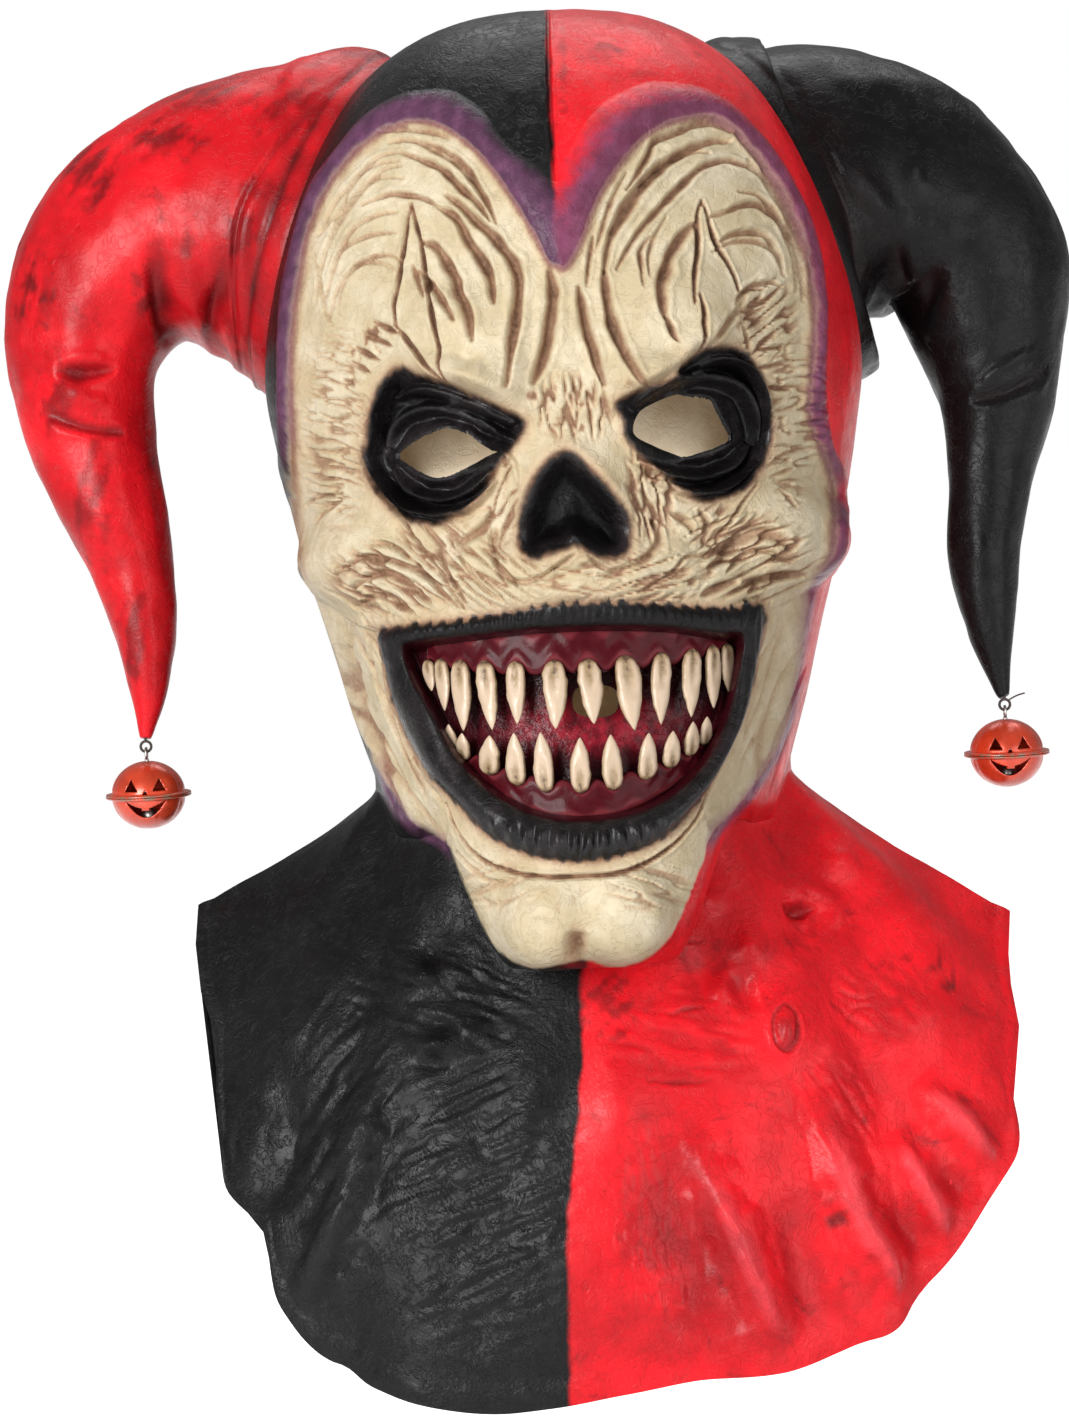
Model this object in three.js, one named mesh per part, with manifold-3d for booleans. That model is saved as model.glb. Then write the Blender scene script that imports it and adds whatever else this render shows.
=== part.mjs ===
// Full-head jester clown mask: a hollow latex head and bib in one skin, two hollow drooping cap horns,
// gums with fangs set in the grin, and a hollow pumpkin bell hung from each horn tip.
// Millimetres, +Z up, the face looks along -Y. The origin is inside the crown, where the wearer's head stops.
import * as THREE from 'three';
import { mergeVertices } from 'three/addons/utils/BufferGeometryUtils.js';
import Module from 'manifold-3d';

// Driving dimensions
const WALL = 2.5;
const SEAT_GAP = 0.3;
const HEAD_COLUMNS = 38;
const FRONT_CROWDING = 0.5;
const HEAD_LINE_STEP = 0.42;
const BIB_LINES = 9;
const CHIN_SIDE_DEG = { start: 20, end: 50 };
const NECK_DROP = 6;

// Head sections from crown to neckline. Each is a closed line round the head that hangs lower in front than
// at the sides; taper above 1 narrows its front like a jaw.
const HEAD_SECTIONS = [
  { z_front: 2.5, z_side: 2.5, half_width: 0, front: 0, back: 0, taper: 1 },
  { z_front: -2, z_side: -2, half_width: 34, front: 36, back: 38, taper: 1 },
  { z_front: -16, z_side: -15, half_width: 60, front: 64, back: 66, taper: 1 },
  { z_front: -42, z_side: -38, half_width: 80, front: 88, back: 90, taper: 0.97 },
  { z_front: -75, z_side: -68, half_width: 94.5, front: 103, back: 107, taper: 0.95 },
  { z_front: -108, z_side: -98, half_width: 103, front: 110, back: 116, taper: 0.95 },
  { z_front: -138, z_side: -126, half_width: 106.5, front: 113, back: 119, taper: 0.95 },
  { z_front: -165, z_side: -150, half_width: 103.5, front: 113, back: 117, taper: 0.95 },
  { z_front: -195, z_side: -172, half_width: 99.5, front: 114, back: 113, taper: 1 },
  { z_front: -225, z_side: -196, half_width: 94.5, front: 118, back: 106, taper: 1.05 },
  { z_front: -258, z_side: -220, half_width: 88, front: 123, back: 97, taper: 1.15 },
  { z_front: -292, z_side: -244, half_width: 82, front: 127, back: 88, taper: 1.25 },
  { z_front: -318, z_side: -264, half_width: 76, front: 125, back: 80, taper: 1.3 },
  { z_front: -327, z_side: -268, half_width: 75, front: 100, back: 79, taper: 1.2 },
  { z_front: -312, z_side: -272, half_width: 75, front: 66, back: 79, taper: 1 },
];

// Main forms of the face, placed as seen from the front: rise is out of the face, and plateau is the share
// of the form's half sizes that stays level before it falls away.
const FACE_FORMS = [
  { name: 'brow_left', x: -36, z: -112, half_x: 34, half_z: 26, tilt_deg: -24, rise: 8, plateau: 0.1 },
  { name: 'brow_right', x: 36, z: -112, half_x: 34, half_z: 26, tilt_deg: 24, rise: 8, plateau: 0.1 },
  { name: 'brow_knot_left', x: -20, z: -131, half_x: 17, half_z: 15, tilt_deg: -30, rise: 6, plateau: 0 },
  { name: 'brow_knot_right', x: 20, z: -131, half_x: 17, half_z: 15, tilt_deg: 30, rise: 6, plateau: 0 },
  { name: 'socket_left', x: -44, z: -148, half_x: 33, half_z: 25, tilt_deg: -10, rise: -17, plateau: 0.45 },
  { name: 'socket_right', x: 44, z: -147, half_x: 33, half_z: 25, tilt_deg: 10, rise: -17, plateau: 0.45 },
  { name: 'nose_rim', x: 1, z: -170, half_x: 27, half_z: 30, tilt_deg: 0, rise: 7, plateau: 0.35 },
  { name: 'nose_hole', x: 1, z: -172, half_x: 18, half_z: 21, tilt_deg: 0, rise: -15, plateau: 0.3 },
  { name: 'cheekbone_left', x: -78, z: -187, half_x: 26, half_z: 21, tilt_deg: 12, rise: 11, plateau: 0.15 },
  { name: 'cheekbone_right', x: 78, z: -187, half_x: 26, half_z: 21, tilt_deg: -12, rise: 11, plateau: 0.15 },
  { name: 'upper_jaw', x: 0, z: -194, half_x: 60, half_z: 17, tilt_deg: 0, rise: 5, plateau: 0.3 },
  { name: 'chin_left', x: -15, z: -309, half_x: 19, half_z: 21, tilt_deg: 0, rise: 8, plateau: 0.2 },
  { name: 'chin_right', x: 13, z: -309, half_x: 19, half_z: 21, tilt_deg: 0, rise: 8, plateau: 0.2 },
];

// The face stands inside a raised cap edge that makes two lobes and a peak over the forehead.
const FACE_EDGE = { lobe_x: 46, lobe_z: -118, lobe_half_x: 47, lobe_half_z: 79, sunk: 3, slope: 10 };

// The grin: a level upper lip over half an ellipse, sunk behind a raised lip.
const MOUTH = { half_x: 63, lip_z: -209, arch: 5, depth_z: 74, sunk: 17, lip_rise: 4, lip_width: 8, slope: 6 };

// Eye openings: corners, then how far the lids rise and drop from the line between them.
const EYES = [
  { name: 'left', outer_x: -58, outer_z: -152, inner_x: -22, inner_z: -151, upper: 11, lower: 14 },
  { name: 'right', outer_x: 56, outer_z: -153, inner_x: 23, inner_z: -149, upper: 24, lower: 14 },
];
const EYE_CUT = { front_y: -150, length: 110 };

// The breathing slot behind the middle fangs.
const BREATH_SLOT = { x: 7, z: -238, half_x: 13, half_z: 7.5, front_y: -140, length: 60 };

// The bib's cut hem, by angle from the front towards +X; bulge is how far the drape rounds out on the way.
const HEM = [
  { angle_deg: -180, x: 0, y: 112, z: -400, bulge: 10 },
  { angle_deg: -150, x: -72, y: 100, z: -390, bulge: 10 },
  { angle_deg: -120, x: -126, y: 56, z: -350, bulge: 6 },
  { angle_deg: -96, x: -139, y: 6, z: -311, bulge: -3 },
  { angle_deg: -88, x: -141.5, y: -14, z: -331, bulge: 3 },
  { angle_deg: -80, x: -131, y: -30, z: -360, bulge: 8 },
  { angle_deg: -72, x: -132, y: -44, z: -391.5, bulge: 12 },
  { angle_deg: -66, x: -131, y: -54, z: -406, bulge: 14 },
  { angle_deg: -60, x: -114.5, y: -64, z: -418, bulge: 16 },
  { angle_deg: -54, x: -111.5, y: -72, z: -445, bulge: 17 },
  { angle_deg: -46, x: -95.5, y: -82, z: -461.5, bulge: 17 },
  { angle_deg: -34, x: -74, y: -92, z: -472, bulge: 16 },
  { angle_deg: -20, x: -46, y: -100, z: -478, bulge: 15 },
  { angle_deg: -8, x: -22, y: -103, z: -477, bulge: 15 },
  { angle_deg: 4, x: 5, y: -104, z: -473, bulge: 15 },
  { angle_deg: 16, x: 30, y: -101, z: -470, bulge: 15 },
  { angle_deg: 30, x: 64, y: -94, z: -469, bulge: 16 },
  { angle_deg: 42, x: 90.5, y: -82, z: -460.5, bulge: 17 },
  { angle_deg: 50, x: 107, y: -76, z: -450, bulge: 17 },
  { angle_deg: 58, x: 124.5, y: -64, z: -427, bulge: 16 },
  { angle_deg: 66, x: 144, y: -54, z: -405, bulge: 14 },
  { angle_deg: 74, x: 141, y: -42, z: -384, bulge: 12 },
  { angle_deg: 82, x: 146, y: -28, z: -362, bulge: 8 },
  { angle_deg: 89, x: 148.5, y: -12, z: -344.5, bulge: 3 },
  { angle_deg: 96, x: 150, y: 6, z: -327, bulge: -3 },
  { angle_deg: 120, x: 128, y: 56, z: -355, bulge: 6 },
  { angle_deg: 150, x: 72, y: 100, z: -390, bulge: 10 },
  { angle_deg: 180, x: 0, y: 112, z: -400, bulge: 10 },
];

// Flutes that run down the bib and open towards the hem.
const BIB_FLUTES = [
  { angle_deg: -78, half_deg: 9, rise: 4 },
  { angle_deg: -58, half_deg: 10, rise: 4 },
  { angle_deg: -30, half_deg: 12, rise: 3 },
  { angle_deg: 24, half_deg: 10, rise: 3 },
  { angle_deg: 43, half_deg: 9, rise: 5 },
  { angle_deg: 59, half_deg: 8, rise: 5 },
  { angle_deg: 75, half_deg: 9, rise: 5 },
  { angle_deg: -140, half_deg: 14, rise: 3 },
  { angle_deg: 140, half_deg: 14, rise: 3 },
];

// Dents and lumps round the base of the neck.
const BIB_FORMS = [
  { name: 'dent_left_upper', x: -52, z: -318, half_x: 15, half_z: 13, tilt_deg: 20, rise: -6, plateau: 0 },
  { name: 'lump_left', x: -50, z: -352, half_x: 20, half_z: 15, tilt_deg: 0, rise: 4, plateau: 0 },
  { name: 'dent_right_upper', x: 74, z: -322, half_x: 16, half_z: 11, tilt_deg: -25, rise: -6, plateau: 0 },
  { name: 'dent_right_inner', x: 40, z: -336, half_x: 11, half_z: 17, tilt_deg: 15, rise: -6, plateau: 0 },
  { name: 'lump_right', x: 66, z: -357, half_x: 14, half_z: 18, tilt_deg: 0, rise: 4, plateau: 0 },
];

// Cap horns from inside the cap to the tip: radius is across the horn seen from the front.
const HORN_STATIONS = {
  red: [
    { x: -40, y: 34, z: -72, radius: 52 },
    { x: -67, y: 34, z: -71, radius: 65 },
    { x: -94.5, y: 34, z: -69, radius: 63 },
    { x: -112, y: 34, z: -67, radius: 56 },
    { x: -131.5, y: 33, z: -68, radius: 49.2 },
    { x: -152.3, y: 31, z: -75.6, radius: 41.1 },
    { x: -167, y: 28, z: -90.7, radius: 34 },
    { x: -174.8, y: 24, z: -115.7, radius: 26.8 },
    { x: -171.2, y: 19, z: -147, radius: 22.2 },
    { x: -162, y: 14, z: -177.5, radius: 17.3 },
    { x: -156, y: 9, z: -207, radius: 12.6 },
    { x: -155, y: 5, z: -232, radius: 8 },
    { x: -156.5, y: 3, z: -246, radius: 3.6 },
    { x: -157, y: 2, z: -250, radius: 2 },
  ],
  black: [
    { x: 34, y: 34, z: -75, radius: 54 },
    { x: 61, y: 34, z: -75, radius: 67 },
    { x: 87.5, y: 34, z: -73, radius: 65.6 },
    { x: 102.7, y: 34, z: -69, radius: 58.4 },
    { x: 121, y: 33, z: -70, radius: 49.2 },
    { x: 137, y: 31, z: -77.6, radius: 41.6 },
    { x: 151, y: 28, z: -93.2, radius: 35 },
    { x: 154.6, y: 24, z: -117.7, radius: 28.8 },
    { x: 155.6, y: 19, z: -147, radius: 20.2 },
    { x: 152.6, y: 14, z: -173, radius: 15.5 },
    { x: 148.5, y: 9, z: -201, radius: 12.8 },
    { x: 149.5, y: 5, z: -226, radius: 8.8 },
    { x: 152, y: 3, z: -246, radius: 3.6 },
    { x: 153, y: 2, z: -250, radius: 2 },
  ],
};
const HORN = { sides: 12, depth_share: 0.86, solid_tip_stations: 3 };

// Gums follow the curve of the face inside the grin; lifts are measured from the face before the grin is sunk.
const GUMS = {
  upper: { half_x: 58, centre_top: -210, centre_bottom: -223, end_top: -216, end_bottom: -223 },
  lower: { half_x: 51, centre_top: -264.6, centre_bottom: -275, end_top: -253, end_bottom: -259 },
};
const GUM = { back_lift: -18, front_lift: -8.5, lip_lift: -11, sections: 12 };

// Fangs from the wearer's right to left: root and tip as seen from the front, and the width at the root.
const UPPER_FANGS = [
  { x: -57, root_z: -223.5, tip_x: -54, tip_z: -232.6, width: 4.4 },
  { x: -51.5, root_z: -223, tip_x: -49.5, tip_z: -239, width: 5 },
  { x: -43.8, root_z: -223.5, tip_x: -42.8, tip_z: -245.3, width: 6.8 },
  { x: -34.6, root_z: -223.5, tip_x: -32.2, tip_z: -244.6, width: 6.6 },
  { x: -23.3, root_z: -223.5, tip_x: -23, tip_z: -242.6, width: 6.8 },
  { x: -8.7, root_z: -223.5, tip_x: -9.2, tip_z: -244.4, width: 8.6 },
  { x: 3.9, root_z: -223.5, tip_x: 4.8, tip_z: -243.3, width: 8.4 },
  { x: 17.7, root_z: -223.5, tip_x: 19.4, tip_z: -246.4, width: 9 },
  { x: 31, root_z: -223.5, tip_x: 29.1, tip_z: -245.4, width: 6.8 },
  { x: 42.5, root_z: -223.5, tip_x: 40.2, tip_z: -244.2, width: 6.6 },
  { x: 51, root_z: -223.2, tip_x: 49, tip_z: -242.5, width: 5.6 },
  { x: 57, root_z: -223.5, tip_x: 55, tip_z: -238, width: 4.6 },
];
const LOWER_FANGS = [
  { x: -50, root_z: -253, tip_x: -48.5, tip_z: -243.5, width: 4.6 },
  { x: -45.5, root_z: -254.9, tip_x: -43.5, tip_z: -246.2, width: 5 },
  { x: -35.5, root_z: -258.9, tip_x: -33.3, tip_z: -246.6, width: 7.2 },
  { x: -25.5, root_z: -261.7, tip_x: -24.5, tip_z: -245.6, width: 6.8 },
  { x: -14.8, root_z: -263.5, tip_x: -14.8, tip_z: -245.4, width: 7.2 },
  { x: -1.2, root_z: -264.2, tip_x: -0.6, tip_z: -247.6, width: 7.4 },
  { x: 11.5, root_z: -263.9, tip_x: 10.6, tip_z: -247.2, width: 7.4 },
  { x: 24.5, root_z: -261.9, tip_x: 24.5, tip_z: -247.8, width: 6.8 },
  { x: 33.8, root_z: -259.4, tip_x: 33.3, tip_z: -248, width: 5.8 },
  { x: 41.5, root_z: -256.5, tip_x: 40.8, tip_z: -245.8, width: 5.2 },
  { x: 47.5, root_z: -254, tip_x: 46.3, tip_z: -244.9, width: 4.4 },
];
const FANG = { sides: 5, root_lift: -9.5, tip_lift: -6, depth_share: 0.6 };
const FANG_PROFILE = [
  { along: 0, share: 0.62 },
  { along: 0.25, share: 1 },
  { along: 0.7, share: 0.68 },
  { along: 1, share: 0.06 },
];

// The thread that hangs each bell: a stem set into the horn tip, with an eye below it.
const TIE = { stem_radius: 0.55, stem_set: 9, eye_radius: 1.9, thread_radius: 0.5, drop: 3.1 };

// Pumpkin bell: two shells meeting in a flange, a wire shank on top and a loose pellet inside.
const BELL = { radius: 13.2, height_share: 0.93, wall: 0.9, flange: 15.4, flange_half: 0.7, turns: 14 };
const BELL_ARC_STEPS = 4;
const SHANK = { ring_radius: 1.9, wire_radius: 0.5, stem_radius: 0.75, hole_radius: 1.1, head_radius: 1.9 };
const SHANK_HEAD_THICK = 0.8;
const PELLET_RADIUS = 3.4;
const BELL_EYE = { x: 5, z: 4.4, half_x: 2.4, half_z: 2.2 };
const BELL_NOSE = { z: 1.9, half_x: 1.1, half_z: 0.9 };
const BELL_GRIN = { half_x: 7.4, top_z: -2.4, bottom_z: -7.6, curl: 1.4, tooth_half_x: 1.4, tooth_z: -4.6 };

const FINISHES = {
  latex: { color: 0xd8c9a0, roughness: 0.6, metalness: 0 },
  red: { color: 0xb8131a, roughness: 0.45, metalness: 0 },
  black: { color: 0x1b1b1c, roughness: 0.5, metalness: 0 },
  gum: { color: 0x571226, roughness: 0.3, metalness: 0 },
  fang: { color: 0xdccfae, roughness: 0.4, metalness: 0 },
  thread: { color: 0x3a3230, roughness: 0.8, metalness: 0 },
  pumpkin: { color: 0xd8431f, roughness: 0.35, metalness: 0.3 },
  steel: { color: 0x9a9a98, roughness: 0.35, metalness: 1 },
};

const wasm = await Module();
wasm.setup();
const { clamp, degToRad, lerp } = THREE.MathUtils;

function smoothstep(from, to, value) {
  const t = clamp((value - from) / (to - from), 0, 1);
  return t * t * (3 - 2 * t);
}

// One column of a table, read between two of its rows on a Catmull-Rom curve.
function columnAt(rows, column, index, t) {
  const at = (i) => rows[clamp(i, 0, rows.length - 1)][column];
  const [a, b, c, d] = [at(index - 1), at(index), at(index + 1), at(index + 2)];
  const [slopeB, slopeC] = [(c - a) / 2, (d - b) / 2];
  const u = 1 - t;
  return b * (1 + 2 * t) * u * u + c * (3 - 2 * t) * t * t + slopeB * t * u * u - slopeC * t * t * u;
}

function readAtRow(rows, row) {
  const index = clamp(Math.floor(row), 0, rows.length - 2);
  const columns = Object.keys(rows[0]);
  return Object.fromEntries(columns.map((c) => [c, columnAt(rows, c, index, row - index)]));
}

function readAtAngle(rows, angleDeg) {
  const index = clamp(rows.findLastIndex((r) => r.angle_deg <= angleDeg), 0, rows.length - 2);
  const span = rows[index + 1].angle_deg - rows[index].angle_deg;
  return readAtRow(rows, index + (angleDeg - rows[index].angle_deg) / span);
}

// Solids

function solidOf(geometry) {
  const bare = geometry.clone();
  bare.deleteAttribute('normal');
  bare.deleteAttribute('uv');
  const merged = mergeVertices(bare, 1e-4);
  const triVerts = new Uint32Array(merged.index.array);
  return new wasm.Manifold(
    new wasm.Mesh({ numProp: 3, vertProperties: merged.attributes.position.array, triVerts }),
  );
}

function geometryOf(solid) {
  const mesh = solid.getMesh();
  return new THREE.BufferGeometry()
    .setAttribute('position', new THREE.BufferAttribute(mesh.vertProperties, 3))
    .setIndex(new THREE.BufferAttribute(mesh.triVerts, 1));
}

// A closed skin through rings of points, with a fan over each end. Each cell is split along its shorter diagonal,
// so that an inner and an outer skin agree.
function loftRings(rings) {
  const sides = rings[0].length;
  const points = rings.flat();
  const centre = (ring) => ring.reduce((sum, p) => sum.add(p), new THREE.Vector3()).divideScalar(sides);
  points.push(centre(rings[0]), centre(rings.at(-1)));
  const faces = [];
  rings.slice(1).forEach((_, r) => {
    for (let k = 0; k < sides; k += 1) {
      const [a, b] = [r * sides + k, r * sides + ((k + 1) % sides)];
      const [c, d] = [a + sides, b + sides];
      const splitFromA = points[a].distanceTo(points[d]) <= points[b].distanceTo(points[c]);
      faces.push(...(splitFromA ? [a, b, d, a, d, c] : [a, b, c, b, d, c]));
    }
  });
  const lastRing = (rings.length - 1) * sides;
  for (let k = 0; k < sides; k += 1) {
    const next = (k + 1) % sides;
    faces.push(points.length - 2, next, k, points.length - 1, lastRing + k, lastRing + next);
  }
  const geometry = new THREE.BufferGeometry().setFromPoints(points).setIndex(faces);
  return facingOut(geometry);
}

function facingOut(geometry) {
  const place = geometry.attributes.position;
  const index = geometry.index.array;
  const corner = (i) => new THREE.Vector3().fromBufferAttribute(place, index[i]);
  let volume = 0;
  for (let i = 0; i < index.length; i += 3) {
    volume += corner(i).dot(corner(i + 1).cross(corner(i + 2)));
  }
  if (volume < 0) {
    for (let i = 0; i < index.length; i += 3) {
      [index[i + 1], index[i + 2]] = [index[i + 2], index[i + 1]];
    }
  }
  return geometry;
}

// A flat outline drawn in x and z, pushed back along +Y from frontY.
function cutThrough(shape, frontY, length, curveSegments) {
  const block = new THREE.ExtrudeGeometry(shape, { depth: length, bevelEnabled: false, curveSegments });
  return solidOf(block.rotateX(Math.PI / 2).translate(0, frontY + length, 0));
}

// The head and bib skin

function frontness(angle) {
  const [start, end] = [degToRad(CHIN_SIDE_DEG.start), degToRad(CHIN_SIDE_DEG.end)];
  return 1 - smoothstep(start, end, Math.abs(angle));
}

// The head before its face is modelled, at a fractional section row and an angle from the front.
function plainHead(row, angle) {
  const section = readAtRow(HEAD_SECTIONS, row);
  const ahead = Math.cos(angle);
  const y = ahead > 0 ? -section.front * ahead ** section.taper : -section.back * ahead;
  const z = lerp(section.z_side, section.z_front, frontness(angle));
  return new THREE.Vector3(section.half_width * Math.sin(angle), y, z);
}

function plainBib(share, angle) {
  const neck = plainHead(HEAD_SECTIONS.length - 1, angle);
  const hem = readAtAngle(HEM, THREE.MathUtils.radToDeg(angle));
  const end = new THREE.Vector3(hem.x, hem.y, hem.z);
  const outward = new THREE.Vector3(Math.sin(angle), -Math.cos(angle), 0.4).normalize();
  const below = neck.clone().setZ(neck.z - NECK_DROP);
  const bend = neck.clone().lerp(end, 0.55).addScaledVector(outward, 1.4 * hem.bulge);
  const point = new THREE.CubicBezierCurve3(neck, below, bend, end).getPoint(share);
  const flute = BIB_FLUTES.reduce((sum, f) => {
    const off = (angle - degToRad(f.angle_deg)) / degToRad(f.half_deg);
    return sum + f.rise * (1 - smoothstep(0, 1, Math.abs(off)));
  }, 0);
  return point.addScaledVector(outward.setZ(0).normalize(), flute * share ** 1.5);
}

function formRise(form, x, z) {
  const tilt = degToRad(form.tilt_deg);
  const [dx, dz] = [x - form.x, z - form.z];
  const along = (dx * Math.cos(tilt) + dz * Math.sin(tilt)) / form.half_x;
  const across = (dz * Math.cos(tilt) - dx * Math.sin(tilt)) / form.half_z;
  return form.rise * (1 - smoothstep(form.plateau, 1, Math.hypot(along, across)));
}

// How far a point lies inside the face's edge lobes, in mm; negative on the cap.
function insideFaceEdge(x, z) {
  const edge = FACE_EDGE;
  const across = (Math.abs(x) - edge.lobe_x) / edge.lobe_half_x;
  const up = Math.max(0, z - edge.lobe_z) / edge.lobe_half_z;
  const outwardOnly = z < edge.lobe_z && Math.abs(x) < edge.lobe_x ? 0 : across;
  return (1 - Math.hypot(outwardOnly, up)) * edge.lobe_half_x;
}

// How far a point lies inside the grin's outline, in mm.
function insideMouth(x, z) {
  const top = MOUTH.lip_z + MOUTH.arch * (1 - (x / MOUTH.half_x) ** 2);
  const round = 1 - Math.hypot(x / MOUTH.half_x, Math.min(0, z - MOUTH.lip_z) / MOUTH.depth_z);
  return Math.min(top - z, round * MOUTH.half_x);
}

function faceRelief(x, z) {
  const forms = FACE_FORMS.reduce((sum, form) => sum + formRise(form, x, z), 0);
  const mouth = insideMouth(x, z);
  const lip = MOUTH.lip_rise * (1 - smoothstep(0, MOUTH.lip_width, Math.abs(mouth)));
  const pit = MOUTH.sunk * smoothstep(0, MOUTH.slope, mouth);
  const edge = FACE_EDGE.sunk * smoothstep(0, FACE_EDGE.slope, insideFaceEdge(x, z));
  const keep = 1 - smoothstep(-2, MOUTH.slope, mouth);
  return forms * keep - edge * keep + lip - pit;
}

function normalAt(surface, along, angle) {
  const step = 0.02;
  const down = surface(along + step, angle).sub(surface(along - step, angle));
  const round = surface(along, angle + step).sub(surface(along, angle - step));
  return round.cross(down).normalize().negate();
}

function headPoint(row, angle) {
  const point = plainHead(row, angle);
  const facing = smoothstep(0.05, 0.3, Math.cos(angle));
  const above = 1 - smoothstep(12.2, 13.2, row);
  if (facing * above === 0) return point;
  const relief = faceRelief(point.x, point.z) * facing * above;
  return point.addScaledVector(normalAt(plainHead, row, angle), relief);
}

function bibPoint(share, angle) {
  const point = plainBib(share, angle);
  const facing = smoothstep(0, 0.2, Math.cos(angle)) * smoothstep(0, 0.15, share);
  if (facing === 0 || share > 0.9) return point;
  const rise = BIB_FORMS.reduce((sum, form) => sum + formRise(form, point.x, point.z), 0);
  return point.addScaledVector(normalAt(plainBib, share, angle), rise * facing);
}

// Columns crowd together on the face.
function columnAngles() {
  return Array.from({ length: HEAD_COLUMNS }, (_, k) => {
    const turn = (2 * Math.PI * k) / HEAD_COLUMNS - Math.PI;
    return turn - FRONT_CROWDING * Math.sin(turn);
  });
}

// Rings of the outer skin, from just under the crown to the hem.
function outerRings(withBib) {
  const angles = columnAngles();
  const last = HEAD_SECTIONS.length - 1;
  const headSteps = Math.round(last / HEAD_LINE_STEP);
  const rings = [];
  for (let k = 1; k <= headSteps; k += 1) {
    rings.push(angles.map((angle) => headPoint((k * last) / headSteps, angle)));
  }
  if (!withBib) return rings;
  for (let k = 1; k <= BIB_LINES; k += 1) {
    rings.push(angles.map((angle) => bibPoint(k / BIB_LINES, angle)));
  }
  return rings;
}

// The same rings moved along their own averaged normals.
function offsetRings(rings, distance) {
  const sides = rings[0].length;
  const ringAt = (r) => rings[clamp(r, 0, rings.length - 1)];
  const plain = rings.map((ring, r) =>
    ring.map((_, k) => {
      const down = ringAt(r + 1)[k].clone().sub(ringAt(r - 1)[k]);
      const round = ring[(k + 1) % sides].clone().sub(ring[(k + sides - 1) % sides]);
      return round.cross(down).normalize().negate();
    }),
  );
  return rings.map((ring, r) =>
    ring.map((point, k) => {
      const near = [plain[r][(k + 1) % sides], plain[r][(k + sides - 1) % sides]];
      const beside = [plain[Math.max(0, r - 1)][k], plain[Math.min(rings.length - 1, r + 1)][k]];
      const soft = plain[r][k].clone().multiplyScalar(2);
      [...near, ...beside].forEach((n) => soft.add(n));
      return point.clone().addScaledVector(soft.normalize(), distance);
    }),
  );
}

// Solid block of the head, swollen by the seat gap, to seat other pieces against.
function headBlock() {
  return solidOf(loftRings(offsetRings(outerRings(false), SEAT_GAP).reverse()));
}

function eyeShape(eye) {
  const middle = (eye.outer_x + eye.inner_x) / 2;
  const line = (eye.outer_z + eye.inner_z) / 2;
  const shape = new THREE.Shape().moveTo(eye.outer_x, eye.outer_z);
  shape.quadraticCurveTo(middle, line + eye.upper, eye.inner_x, eye.inner_z);
  shape.quadraticCurveTo(middle, line - eye.lower, eye.outer_x, eye.outer_z);
  return shape;
}

function maskShell() {
  const outer = outerRings(true);
  const inner = offsetRings(outer, -WALL);
  let shell = solidOf(loftRings([...inner, ...outer.reverse()]));
  EYES.forEach((eye) => {
    shell = shell.subtract(cutThrough(eyeShape(eye), EYE_CUT.front_y, EYE_CUT.length, 5));
  });
  const slot = new THREE.Shape().absellipse(
    BREATH_SLOT.x, BREATH_SLOT.z, BREATH_SLOT.half_x, BREATH_SLOT.half_z, 0, 2 * Math.PI, false, 0,
  );
  return shell.subtract(cutThrough(slot, BREATH_SLOT.front_y, BREATH_SLOT.length, 5));
}

// A point on the face before its forms, found from where it is seen from the front.
function facePoint(x, z, lift) {
  let [low, high] = [3, 12];
  const angleAt = (row) => Math.asin(clamp(x / readAtRow(HEAD_SECTIONS, row).half_width, -1, 1));
  for (let k = 0; k < 24; k += 1) {
    const row = (low + high) / 2;
    if (plainHead(row, angleAt(row)).z > z) low = row;
    else high = row;
  }
  const angle = angleAt(low);
  return plainHead(low, angle).addScaledVector(normalAt(plainHead, low, angle), lift);
}

// Horns

function hornRing(station, axis, radius, depthShare) {
  const across = new THREE.Vector3(-axis.z, 0, axis.x).normalize();
  const deep = new THREE.Vector3().crossVectors(axis, across).normalize();
  return Array.from({ length: HORN.sides }, (_, k) => {
    const turn = (2 * Math.PI * k) / HORN.sides;
    return new THREE.Vector3(station.x, station.y, station.z)
      .addScaledVector(across, radius * Math.cos(turn))
      .addScaledVector(deep, radius * depthShare * Math.sin(turn));
  });
}

// A tapering skin, open where it sits on the cap, solid at its tip, with a pit for the bell's thread.
function horn(stations, block) {
  const last = stations.length - 1;
  const centre = (i) => new THREE.Vector3(stations[i].x, stations[i].y, stations[i].z);
  const axisAt = (i) => centre(Math.min(last, i + 1)).sub(centre(Math.max(0, i - 1))).normalize();
  const roundness = (i) => lerp(HORN.depth_share, 1, i / last);
  const outer = stations.map((s, i) => hornRing(s, axisAt(i), s.radius, roundness(i)));
  const hollow = stations.slice(0, last - HORN.solid_tip_stations + 1);
  const inner = hollow.map((s, i) => hornRing(s, axisAt(i), s.radius - WALL, roundness(i)));
  const tip = stations[last];
  const pit = new THREE.CylinderGeometry(
    TIE.stem_radius + SEAT_GAP, TIE.stem_radius + SEAT_GAP, 2 * (TIE.stem_set + SEAT_GAP), 8,
  );
  pit.rotateX(Math.PI / 2).translate(tip.x, tip.y, tip.z);
  return solidOf(loftRings([...inner.reverse(), ...outer])).subtract(block).subtract(solidOf(pit));
}

// Gums and fangs

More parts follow.
